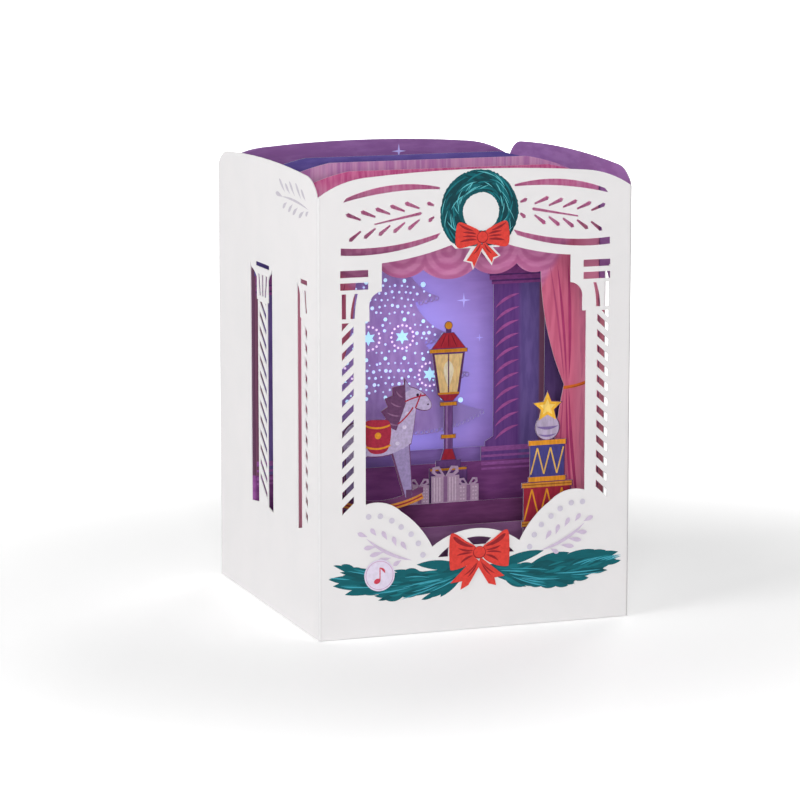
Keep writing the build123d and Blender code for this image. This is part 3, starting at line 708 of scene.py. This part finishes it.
def print_bows():
    """Two ribbon bows with rounded loops, notched tails and folds that fan out from the knot."""
    ink = Ink("bow_print", TO_FRONT, FRONT, "white_card", over=0.3)
    tails = (
        ((-0.9, -1.2), (-5.5, -7.4), (-3.5, -7.8), (-2.9, -9.7), (0.1, -3.2)),
        ((0.4, -1.2), (5.5, -6.2), (3.7, -6.7), (3.35, -8.5), (-0.3, -3.2)))
    loop = (
        (1.0, 1.8), (3.4, 3.4), (7.2, 5.0), (8.4, 4.8), (8.9, 3.7), (9.3, 0.6), (9.2, -1.9), (8.6, -3.0),
        (7.4, -3.3), (4.4, -2.7), (1.0, -1.6))
    folds = (
        ((3.0, 2.1), (2.0, 1.0), (2.0, 0.2), (2.0, -0.7), (0.7, -2.2)),
        ((8.2, 4.6), (6.7, 1.8), (6.9, 0.4), (7.8, -1.3), (3.2, -5.4)),
        (-0.3, 0.2, 0.15, 0.3, -0.3), (0.75, 0.7, 0.6, 0.75, 0.5))
    tie_bow(ink, (1.65, 128.5), tails, ((loop, RED),), folds, (1.95, 1.95), (1.75, 1.7))

    tails = (
        ((-1.6, -1.4), (-10.2, -9.6), (-6.0, -9.2), (-6.6, -12.0), (-3.8, -10.6), (0.6, -3.6)),
        ((0.4, -1.6), (8.8, -8.4), (5.3, -8.8), (5.9, -11.4), (3.2, -10.6), (-0.6, -4.4)))
    loop = (
        (1.2, 1.8), (4.6, 4.0), (8.2, 6.6), (10.1, 6.4), (10.5, 1.2), (10.3, -4.0), (9.5, -5.3),
        (5.0, -4.3), (1.4, -1.8))
    mouth = ((2.2, 2.0), (5.2, 3.6), (8.3, 5.6), (9.1, 5.4), (7.8, 3.7), (5.0, 2.3))
    folds = (
        ((2.2, 0.8), (2.4, 0.0), (2.2, -0.9), (0.6, -3.0), (1.0, -3.4)),
        ((7.4, 1.9), (8.0, -0.6), (6.6, -3.2), (4.2, -8.0), (5.6, -7.4)),
        (-0.4, 0.3, 0.4, -0.4, -0.4), (0.7, 0.6, 0.75, 0.5, 0.4))
    tie_bow(ink, (1.0, 25.3), tails, ((loop, RED), (mouth, RED_DARK)), folds, (2.25, 2.1), (2.0, 1.85))
    ink.done(ink_finish("bow_ink", 0.1, 0.9))


def print_corners():
    """Sprigs and dots in the lower corners, and the press spot with a plain note on it."""
    ink = Ink("corner_print", TO_FRONT, FRONT, "white_card", over=0.3)
    ink.pair(strokes((22.4, 24.4), (38.0, 32.6), -1.2, 1.1), SPRIG)
    upper = (
        (24.2, 27.9, 26.1, 30.8), (27.8, 29.4, 28.9, 32.7), (30.9, 31.7, 32.6, 34.7),
        (34.6, 33.3, 36.5, 35.8), (37.6, 33.1, 41.0, 34.6))
    lower = (
        (26.0, 24.7, 28.8, 23.1), (29.5, 25.7, 34.3, 24.9), (32.0, 27.8, 36.9, 26.8),
        (34.6, 29.7, 38.9, 29.4))
    ink.pair(strokes_of(upper + lower, 0.0, 1.45, teardrop), SPRIG)
    dots = (
        (37.2, 39.7), (33.2, 39.6), (29.3, 37.9), (26.1, 35.6), (22.7, 33.0), (20.2, 29.8), (18.6, 25.9))
    ink.pair(ovals(dots, 0.95), DOT)
    ink.foot = np.array((-33.5, 20.2))
    ink.add(ovals((0, 0), 5.2, sides=48), (222, 212, 232))
    ink.add(hoop((0, 0), 4.75, (0, 0), 4.55), (196, 150, 186))
    note = (200, 62, 84)
    ink.add(ovals((-0.8, -1.9), 1.15, 0.85, 20), note)
    ink.add(bars(-0.02, 0.32, -1.8, 2.6), note)
    ink.add(strokes((0.1, 2.5), (1.9, 0.6), 0.35, 0.75), note)
    ink.done(ink_finish("corner_ink", 0.06, 1.2))


def print_sides():
    """Grey sprig high on each side wall: an arched stem, a leaf at its end, and leaves above and below."""
    upper = (
        (11.8, 140.9, 16.6, 144.2), (16.2, 140.9, 22.2, 145.7), (22.7, 141.3, 28.7, 145.6),
        (27.7, 141.5, 33.0, 144.5), (32.8, 141.5, 39.2, 145.5))
    lower = (
        (8.8, 137.9, 12.0, 136.3), (13.4, 137.5, 19.0, 134.9), (19.9, 138.0, 25.2, 135.2),
        (24.9, 138.6, 29.8, 135.6), (31.0, 138.6, 35.6, 136.3))
    tint = (196, 190, 200)
    for name, out, place in (("left_sprig", TO_LEFT, -EDGE), ("right_sprig", TO_RIGHT, EDGE)):
        ink = Ink(name + "_print", out, place, "white_card", foot=(FRONT, 0.0))
        ink.add(strokes((9.2, 138.4), (36.2, 139.9), 0.7, 0.8), tint)
        ink.add(strokes((35.6, 139.8), (43.0, 140.4), 0.2, 1.5, teardrop), tint)
        ink.add(strokes_of(upper + lower, 0.0, 1.4, teardrop), tint)
        ink.done(ink_finish(name + "_ink", 0.05, 1.5))


# Prints on the stage sheets


def print_curtain():
    """Folds down the drapes, drawn in to the waist and out again, and a cord round each."""
    ink = Ink("curtain_print", TO_FRONT, CURTAIN_Y, "curtain_card")
    top = np.array((35.6, 38.3, 42.2, 46.6))
    waist = np.array((41.0, 41.9, 42.8, 47.4))
    foot = np.array((39.6, 44.7, 46.8, 49.4))
    top_z, cord_top, cord_foot, foot_z = 115.0, 76.0, 73.0, 29.6
    folds = (
        ([1, 2], (176, 62, 112), (0.9, 1.1)),
        ([0], (184, 78, 120), 0.7),
        ([3], (216, 124, 156), 2.2),
    )
    for pick, tint, wide in folds:
        ink.pair(strokes(at(top[pick], top_z), at(waist[pick], cord_top), 0.5, wide), tint)
        ink.pair(strokes(at(waist[pick], cord_foot), at(foot[pick], foot_z), -0.6, wide), tint)
    ink.pair(strokes((40.8, 73.4), (51.0, 75.6), -0.5, 1.1, banded), (222, 116, 44))
    ink.pair(strokes((40.8, 73.1), (51.0, 75.3), -0.5, 0.3), (172, 88, 32))
    ink.done(ink_finish("curtain_ink", 0.1, 1.4, (1, 1, 5)))


def print_columns():
    """Strokes that climb round each shaft at an even pitch, mouldings over and under it, and arch lines."""
    ink = Ink("column_print", TO_FRONT, COLUMN_Y, "column_card")
    z = np.arange(48.6, 97.5, 4.6)
    climb, wall = 4.7, 52.6
    ink.pair(strokes(at(33.8, z), at(SHAFT_TURN + 0.2, z + climb), 0.9, 1.05), (178, 92, 164))
    pedestal = bars(28.8, wall, (38.2, 39.8, 42.6, 44.6), (38.9, 40.9, 43.4, 46.3))
    capital = bars((32.4, 31.6, 31.0), wall, (102.9, 104.4, 106.4), (103.8, 105.9, 109.8))
    lines = bars((32.4, 31.6), wall, (103.8, 105.9), (104.4, 106.4))
    ink.pair(pedestal, (160, 92, 166))
    ink.pair(capital, (150, 76, 148))
    ink.pair(lines, (96, 54, 122))
    ink.add(strokes((-31.0, 111.6), (31.0, 111.6), 6.0, 0.9, banded, steps=24), (150, 126, 188))
    ink.add(strokes((-32.0, 114.2), (32.0, 114.2), 6.0, 0.5, banded, steps=24), (96, 76, 142))
    ink.done(ink_finish("column_ink", 0.16, 1.0, (2, 1, 1)))


def fir_edge():
    """Heights and half widths along the fir's edge, from each tier's tip over its waist to the notch."""
    notch_x = np.append(FIR_NOTCH * FIR_TIP_X[1:], 0.0)
    notch_z = np.append(FIR_TIP_Z[1:] - FIR_NOTCH_DROP, FIR_TOP)
    out, down, pinch = 0.42, 0.55, 1.6
    waist_x = out * FIR_TIP_X + (1 - out) * notch_x - pinch
    waist_z = down * FIR_TIP_Z + (1 - down) * notch_z
    half = np.stack((FIR_TIP_X, waist_x, notch_x), 1).ravel()
    return np.stack((FIR_TIP_Z, waist_z, notch_z), 1).ravel(), half


def droop(x, half):
    """Height of a row on the fir over its ends, which falls by the square of the place along it."""
    return FIR_DROOP * (1 - (x / half) ** 2)


def print_tree():
    """Dots in drooping rows and a ring of dots round each cut star, all glowing as painted light. Patches
    that glow lie behind the cut stars and the holes, as painted light where the lamp shines through them."""
    edge_z, edge_x = fir_edge()
    margin, ring_margin = 1.3, 0.7  # from the edge
    ring, star_gap, jitter = 4.1, 5.4, 0.3
    tiers = np.arange(len(FIR_TIP_X))
    row, place, tier = np.meshgrid(np.arange(1, 6), np.arange(-17, 18), tiers, indexing="ij")
    half, tip = FIR_TIP_X[tier], FIR_TIP_Z[tier]
    x = FIR_DOT_PITCH * (place + 0.5 * (row % 2))
    z = tip + FIR_ROW_START + droop(x, half) + FIR_DOT_PITCH * row
    clear = np.abs(x) < np.interp(z, edge_z, edge_x) - margin
    clear &= z < tip + FIR_ROW_END + droop(x, half)
    spots = at(x, z)[clear]
    large = (row % 2 == 0)[clear]
    gap = np.linalg.norm(spots[:, None] - FIR_STARS, axis=2).min(axis=1)
    spots, large = spots[gap > star_gap], large[gap > star_gap]
    spots += rng.normal(0, jitter, spots.shape)
    rings = (FIR_STARS[:, None] + ring * spokes(even_angles(16))).reshape(-1, 2)
    rings = rings[np.abs(rings[:, 0]) < np.interp(rings[:, 1], edge_z, edge_x) - ring_margin]
    # painted light: the dots glow as if lit from behind
    lit = ink_finish("tree_light_ink", 0.06, 2.0, strength=0.75)
    back = TREE_Y + SHEET
    for name, out, place in (("tree_front_print", TO_FRONT, TREE_Y), ("tree_back_print", TO_BACK, back)):
        ink = Ink(name, out, place, "tree_card")
        size = np.where(large, 0.55, 0.4) * rng.uniform(0.65, 1.25, len(spots))
        ink.add(ovals(spots, size, sides=8), (196, 222, 255))
        ink.add(ovals(rings, 0.4, sides=8), (244, 220, 250))
        ink.done(lit)
    # painted light: glowing patches behind the cut stars and holes, where the lamp-lit wall shows through
    glow_behind_holes = Ink("tree_hole_glow", TO_FRONT, back, "tree_card")
    glow_behind_holes.add(ovals(FIR_STARS, 3.0), (176, 226, 255))
    for half, tip in zip(FIR_TIP_X, FIR_TIP_Z):
        count = int((half - 5.0) / FIR_HOLE_PITCH)
        x = FIR_HOLE_PITCH * np.arange(-count, count + 1)
        holes = at(x, tip + FIR_ROW_START + droop(x, half))
        glow_behind_holes.add(ovals(holes, 0.95, sides=8), (190, 228, 255))
    glow_behind_holes.done(ink_finish("tree_hole_glow_ink", 0.04, 2.0, strength=0.7))


def make_lace(material):
    """Paper rings hung along the tiers' hems: for each, a square section carried round a circle. The lowest
    hem is an arc and the others are straight."""
    pitch, drop, sides = 1.9, 0.75, 14
    arc, arc_x, arc_z = 52.0, 12.2, 102.0
    along = np.arange(36.2, 8.0, -pitch)
    hems = [at(along, arc_z - np.sqrt(arc**2 - (along - arc_x) ** 2))]
    for half, tip in zip(FIR_TIP_X[1:], FIR_TIP_Z[1:]):
        along = np.arange(half - 0.5, 0.6 * half, -pitch)
        hems.append(at(along, tip - FIR_NOTCH_DROP * (half - along) / ((1 - FIR_NOTCH) * half)))
    middle = np.concatenate(hems) - (0, drop)
    middle = np.concatenate((middle, middle * (-1, 1)))
    angle = even_angles(sides)
    reach = np.array((0.5, 0.95, 0.95, 0.5))
    depth = np.array((-0.01, -0.01, SHEET + 0.01, SHEET + 0.01)) + TREE_Y
    shape = (len(middle), sides, len(reach))
    across = middle[:, 0, None, None] + np.cos(angle)[:, None] * reach
    up = middle[:, 1, None, None] + np.sin(angle)[:, None] * reach
    points = np.stack((across, np.broadcast_to(depth, shape), up), 3).reshape(-1, 3)
    index = np.arange(len(points)).reshape(shape)
    after = np.roll(index, -1, axis=1)
    beside, across_both = np.roll(index, -1, axis=2), np.roll(after, -1, axis=2)
    faces = np.stack((index, after, across_both, beside), 3).reshape(-1, 4)
    lace = make_piece("tree_lace", points, faces.tolist(), material)
    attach(lace, "card")


def print_horse():
    """Rocking horse: lavender coat with dapples, plum mane and tail, crimson saddle, gold rocker."""
    ink = Ink("horse_print", TO_FRONT, RAIL_Y, "toy_card", foot=(-29.0, 39.5))
    coat, shade, plum, crimson = (186, 170, 206), (156, 138, 184), (102, 62, 100), (168, 42, 66)
    ink.add(strokes((-15.2, 3.1), (15.2, 3.1), -3.3, 1.9, banded, steps=20), (214, 140, 62))
    ink.add(strokes((-15.0, 3.1), (15.0, 3.1), -3.3, 0.5, banded, steps=20), (156, 44, 62))
    ink.add(patch((-11.3, 21.6), (-5.8, 19), (-8.8, 2.8), (-11.2, 3.4)), shade)
    ink.add(patch((4.8, 18.2), (10.4, 20.6), (11.5, 3.4), (9.3, 2.8)), shade)
    ink.add(bars((-11.2, 9.4), (-8.8, 11.4), 2.9, 5.4), plum)
    tail = (
        (-9.9, 25.8), (-13.2, 25.6), (-15.8, 21.6), (-15.1, 17.4), (-16.2, 14.2), (-13.3, 15.6),
        (-12.2, 19.6), (-10.2, 22))
    ink.add(rounded(*tail), plum)
    ink.add(ovals((-0.5, 23.0), 11.1, 5.9, sides=40), coat)
    ink.add(ovals((-7.2, 22.4), 5.3, 6.3, sides=32), coat)
    ink.add(patch((3.9, 26), (8.2, 18.9), (11.1, 20.8), (11.9, 25.1), (13.3, 35.8), (7.2, 38.2)), coat)
    ink.add(ovals((13.0, 35.4), 5.9, 2.7, -33, sides=32), coat)
    ink.add(patch((8.9, 37.5), (9.1, 41.8), (11.2, 38.6)), shade)
    mane = (
        (6, 25.2), (1.5, 27.6), (3.1, 29.4), (1.4, 31.7), (3.7, 33.2), (2.7, 35.8), (5.3, 36.7),
        (5.3, 39.3), (9.1, 39.9), (9.3, 34))
    ink.add(patch(*mane), plum)
    locks = ((7, 27), (7.4, 30), (7.8, 33), (8.4, 36)), ((2.6, 28.4), (2.8, 31.4), (4, 34.8), (6, 38.4))
    ink.add(strokes(*locks, 0.4, 0.5), (144, 100, 138))
    dapples = (
        (-9.2, 24.4), (-6.4, 20.2), (-10.2, 20.8), (-7.6, 26.4), (6.4, 21.0), (8.8, 26.2), (9.8, 30.6))
    ink.add(ovals(dapples, 0.75, 0.65), (216, 204, 230))
    saddle = ((-4.6, 28.6), (0.2, 29.0), (3.6, 28.4), (4.2, 24.0), (2.6, 18.6), (-2.8, 18.4), (-4.8, 23.0))
    ink.add(rounded(*saddle), crimson)
    ink.add(strokes(((-4.4, 20.4), (-4.6, 27.4)), ((4.0, 20.6), (3.9, 27.2)), -0.9, 0.6, banded), GOLD)
    ink.add(ovals((-0.3, 23.9), 1.1), GOLD)
    bridle = ((9.0, 34.6), (14.6, 37.0), (11.8, 32.6)), ((16.2, 36.4), (12.6, 32.2), (6.6, 27.4))
    ink.add(strokes(*bridle, (0.3, 0, 0.4), 0.5, banded), crimson)
    ink.add(ovals((13.4, 36.6), 0.5), (50, 30, 56))
    ink.add(ovals((17.0, 33.3), 0.35, 0.3), (70, 44, 76))
    ink.done(ink_finish("horse_ink", 0.14, 1.0))


def zigzag(half, count, foot, head):
    """Starts and ends of the strokes of a cord that runs to and fro between two rims."""
    turns = at(np.linspace(-half, half, count), np.where(np.arange(count) % 2, head, foot))
    return turns[:-1], turns[1:]


def print_drums():
    """Stack of toy drums: crimson and navy shells with gold rims and cords, a striped ball and a star."""
    ink = Ink("drum_print", TO_FRONT, RAIL_Y, "toy_card", foot=(30.0, 29.5))
    ink.add(bars(-8.2, 8.2, 0.3, 14.7), (160, 40, 62))
    ink.add(strokes(*zigzag(8.0, 7, 2.4, 12.6), 0, 0.55, banded), GOLD)
    ink.add(bars(-8.9, 8.9, (0.2, 13.2), (1.9, 14.8)), (214, 142, 56))
    ink.add(bars(-8.9, 8.9, (0.9, 13.9), (1.2, 14.2)), (156, 90, 38))
    ink.add(bars(-6.0, 6.0, 15.2, 28.8), (70, 66, 132))
    ink.add(strokes(*zigzag(5.8, 6, 17.6, 26.4), 0, 0.5, banded), (232, 184, 92))
    ink.add(bars(-6.6, 6.6, (15.1, 27.3), (16.7, 28.9)), GOLD)
    ink.add(ovals((0, 33.2), 4.15, sides=32), (184, 170, 196))
    stripes = ((-3.9, 33.6), (-3.2, 31.0)), ((3.9, 33.6), (3.2, 31.0))
    ink.add(strokes(*stripes, -0.7, (1.0, 0.7)), (128, 106, 162))
    ink.add(stars((0, 39.8), 5.2, 0.46, 5), (244, 186, 62))
    ink.add(stars((0, 39.8), 2.9, 0.46, 5), (252, 216, 116))
    ink.done(ink_finish("drum_ink", 0.16, 0.9, (1, 1, 4)))


def print_lamp_post():
    """Street lantern: warm glass with a flame, crimson roof, gold bands on a plum post."""
    ink = Ink("lamp_post_print", TO_FRONT, LAMP_POST_Y, "lamp_post_card", foot=(16.5, 37.0))
    crimson = (176, 44, 62)
    ink.add(bars((-6.7, -4.3), (6.7, 4.3), (-9.6, 3.2), (2.7, 5.3)), (116, 76, 138))
    ink.add(bars(-6.7, 6.7, 1.9, 2.7), GOLD)
    ink.add(patch((-2.6, 5.7), (2.6, 5.7), (1.4, 9.4), (-1.4, 9.4)), crimson)
    ink.add(bars(-1.35, 1.35, 9.4, 26), (122, 80, 144))
    ink.add(bars(-0.9, -0.3, 9.6, 25.8), (166, 126, 182))
    ink.add(bars((-2.6, -3.0), (2.6, 3.0), (13.2, 24.6), (14.4, 25.8)), GOLD)
    ink.add(patch((-1.5, 26.3), (1.5, 26.3), (3.7, 28.4), (-3.7, 28.4)), crimson)
    ink.add(patch((-3.3, 29.1), (3.3, 29.1), (5.2, 42.5), (-5.2, 42.5)), (250, 214, 148))
    ink.add(strokes((0, 30.2), (0, 40.4), 0, 3.6, teardrop), (255, 242, 208))
    ribs = ((-3.5, 29.0), (3.5, 29.0), (0, 29.0)), ((-5.5, 42.6), (5.5, 42.6), (0, 42.6))
    ink.add(strokes(*ribs, 0, (0.7, 0.7, 0.45), banded), (100, 56, 102))
    ink.add(bars((-3.9, -6.8), (3.9, 6.8), (28.5, 43.1), (29.2, 44.3)), GOLD)
    ink.add(patch((-6.0, 44.6), (6.0, 44.6), (1.8, 49.8), (-1.8, 49.8)), (188, 46, 62))
    seams = ((-3, 44.8), (0, 44.8), (3, 44.8)), ((-0.9, 49.6), (0, 49.6), (0.9, 49.6))
    ink.add(strokes(*seams, 0, 0.35), (126, 30, 48))
    ink.add(ovals((0, 52.4), 1.3), GOLD)
    ink.done(ink_finish("lamp_post_ink", 0.14, 0.9, (1, 1, 3)))


def print_gifts():
    """Three gifts in pale mauve paper with dots, stripes and stars, and a ribbon down each."""
    ink = Ink("gift_print", TO_FRONT, GIFT_Y, "gift_card")
    pale, paler, ribbon = (192, 162, 190), (222, 200, 220), (148, 108, 152)
    gifts = ((-3.3, 3.4, 6.4), (6.0, 5.0, 9.2), (14.3, 3.7, 5.8))  # middle, half width and height
    margin = 0.2
    foot = STEP_TWO + margin
    for x, half, tall in gifts:
        head = STEP_TWO + tall - margin
        ink.add(bars(x - half + margin, x + half - margin, foot, head), pale)
        ink.add(bars(x - 0.7, x + 0.7, foot, head), ribbon)
    left = np.array((-4.2, -3.2, -2.2, 1.4, 2.4, 3.4))
    patterns = (
        ovals(grid((-2.6, -1.6, 1.6, 2.6), np.arange(0.9, 6.0, 1.05)), 0.26, sides=8),
        bars(left, left + 0.4, 0.5, 8.7),
        stars(grid((-2.7, -1.7, 1.7, 2.7), np.arange(0.9, 5.2, 1.3)), 0.45, 0.45, 4),
    )
    for (x, _, _), pattern in zip(gifts, patterns):
        ink.foot = np.array((x, STEP_TWO))
        ink.add(pattern, paler)
    ink.done(ink_finish("gift_ink", 0.08, 0.8))


def print_back():
    """Night sky inside the back wall: a grid up to the arched top, with small four-point stars over it."""
    columns, rows = 49, 40
    foot, margin = 0.6, 0.4
    x = np.linspace(-INNER + 0.5, INNER - 0.5, columns)
    share = np.abs(x) / EDGE
    top = WALL_CORNER + WALL_ARCH * (1 - share**WALL_POWER) - margin
    z = foot + (top - foot) * np.linspace(0, 1, rows)[:, None]
    points = at(x, z).reshape(-1, 2)
    here = (np.arange(columns - 1) + columns * np.arange(rows - 1)[:, None]).ravel()
    faces = np.stack((here, here + 1, here + 1 + columns, here + columns), 1)
    sky = Ink("sky_print", TO_FRONT, INNER, "white_card")
    sky.add((points, faces, len(points)), (130, 90, 150))
    sky.done(sky_finish())
    marks = Ink("star_print", TO_FRONT, INNER, "white_card", over=0.03)
    large = ((36.5, 92.2), (-30.0, 112.0), (12.0, 146.0), (-41.0, 86.0), (44.0, 122.0), (-16.0, 132.0))
    small = ((42.5, 78.5), (27.0, 118.0), (-25.0, 97.0), (-46.0, 104.0), (2.0, 137.0), (-36.0, 128.0))
    marks.add(stars(large, 2.7, 0.2, 4), (188, 178, 238))
    marks.add(stars(small, 1.5, 0.22, 4), (176, 164, 230))
    # painted light: the stars glow faintly
    marks.done(ink_finish("star_ink", 0.05, 2.0, strength=0.1))


def sky_finish():
    """Purple night with painted light round the lamp: periwinkle and a glow that fall off with the
    distance.
    """
    f = Finish("sky_ink")
    x, _, z = f.place()
    middle, squeeze = 66.0, 1.1
    # painted light: a pool round the card's lamp, in the colour and in the glow
    lit = 1 - f.between(span(x, (z - middle) * squeeze), 14.0, 82.0)
    night = brushed(f, (140, 93, 152), (154, 107, 166), 2.5, (4, 1, 1))
    colour = f.blend(lit, night, srgb(170, 156, 226))
    glow = f.blend(lit, (0, 0, 0, 1), srgb(150, 146, 244))
    return f.paper(colour, glow=glow, strength=0.08)


# Floor, light and camera


def stage():
    """Pale floor that turns white to the camera away from the card and keeps the card's shadow near it."""
    f = Finish("floor_paper")
    x, y, _ = f.place()
    mottle = f.between(f.noise(220.0), 0.3, 0.7)
    tone = f.blend(mottle, (0.90, 0.90, 0.90, 1), (0.915, 0.915, 0.915, 1))
    share = 0.3 + f.between(span(x, y), 110.0, 380.0) * 0.7
    white = f.blend(f.seen() * share, (0, 0, 0, 1), (1, 1, 1, 1))
    inputs = {"Base Color": tone, "Roughness": 0.9, "Emission Color": white, "Emission Strength": 1.0}
    half, sunk = 9000.0, -0.2
    corners = np.array(((-half, -half, sunk), (half, -half, sunk), (half, half, sunk), (-half, half, sunk)))
    floor = make_piece("floor", corners, [(0, 1, 2, 3)], f.surface(inputs))


def lamp_light(name, place, aim, energy, size, colour=(1, 1, 1)):
    """Square lamp that looks from a place to an aim, in metres. The camera doesn't see it."""
    data = bpy.data.lights.new(name, "AREA")
    data.energy = energy
    data.color = colour
    data.size = size
    lamp = bpy.data.objects.new(name, data)
    lamp.location = place
    lamp.visible_camera = False
    x, y, z = np.subtract(aim, place)
    lamp.rotation_euler = (math.atan2(math.hypot(x, y), -z), 0, math.atan2(-x, y))
    bpy.context.scene.collection.objects.link(lamp)


def light():
    """White surroundings, soft lamps in front, on the left and behind, and the card's own lamp inside."""
    f = Finish("studio", world=True)
    dim, white = (
        f.node("ShaderNodeBackground", {"Color": (1, 1, 1, 1), "Strength": strength})
        for strength in (WORLD, 1.0))
    sight = f.node("ShaderNodeMixShader", {0: f.seen(), 1: dim, 2: white})
    f.node("ShaderNodeOutputWorld", {"Surface": sight})
    bpy.context.scene.world = f.material
    lamp_light("front", (-0.6, -1.7, 0.42), (0, 0, 0.08), FRONT_LAMP, 0.55)
    lamp_light("left", (-1.9, -0.45, 0.9), (0, 0, 0.07), LEFT_LAMP, 1.2)
    lamp_light("back", (1.25, 1.45, 0.42), (0, 0, 0.08), BACK_LAMP, 0.8)
    lamp_light("glow", (0.006, 0.036, 0.08), (0.006, 0.05, 0.08), GLOW_LAMP, 0.084, (0.84, 0.88, 1.0))


def camera():
    """Camera solved from the box's edges, in metres and degrees."""
    data = bpy.data.cameras.new("camera")
    data.lens = 155.7
    data.sensor_width = 36.0
    data.clip_start = 0.05
    data.clip_end = 40.0
    seat = bpy.data.objects.new("camera", data)
    seat.location = (-0.39719, -1.08232, 0.26258)
    down, right = 9.63, 19.83
    seat.rotation_euler = (math.radians(90 - down), 0, math.radians(-right))
    bpy.context.scene.collection.objects.link(seat)
    bpy.context.scene.camera = seat


camera()
dress("sleeve", sleeve_finish())
dress("toy_rail", plain_finish("toy_card", RAIL_Y, (98, 52, 92), (112, 62, 106), 2.0, (5, 1, 1)))
dress("curtain_frame", curtain_finish())
dress("border_frame", border_finish())
dress("column_frame", column_finish())
fir = tree_finish()
dress("tree", fir)
make_lace(fir)
dress("gift_stack", plain_finish("gift_card", GIFT_Y, (184, 152, 186), (200, 168, 200)))
dress("lamp_post", plain_finish("lamp_post_card", LAMP_POST_Y, (92, 60, 116), (106, 70, 130)))
moulds = (  # node, finish, colour, roughness, and share of metal if any
    ("unit_case", "case_plastic", (0.78, 0.78, 0.78), 0.5),
    ("unit_cover", "cover_plastic", (0.78, 0.78, 0.78), 0.5),
    ("circuit_board", "board_laminate", (0.03, 0.2, 0.08), 0.4),
    ("lamp_board", "lamp_board_laminate", (0.8, 0.8, 0.8), 0.4),
    ("speaker", "speaker_plastic", (0.03, 0.03, 0.03), 0.55),
    ("button_cells", "cell_steel", (0.7, 0.7, 0.7), 0.3, 1.0),
    ("push_button", "button_plastic", (0.6, 0.6, 0.62), 0.45),
    ("lamp_lead", "lead_plastic", (0.75, 0.75, 0.75), 0.5),
)
for node, *look in moulds:
    dress(node, moulded(*look))
dress("lamp", lamp_finish())
print_back()
print_tree()
print_columns()
print_lamp_post()
print_gifts()
print_curtain()
print_horse()
print_drums()
print_garland()
print_wreath()
print_corners()
print_bows()
print_sides()
stage()
light()
bpy.context.scene.view_settings.view_transform = "Standard"
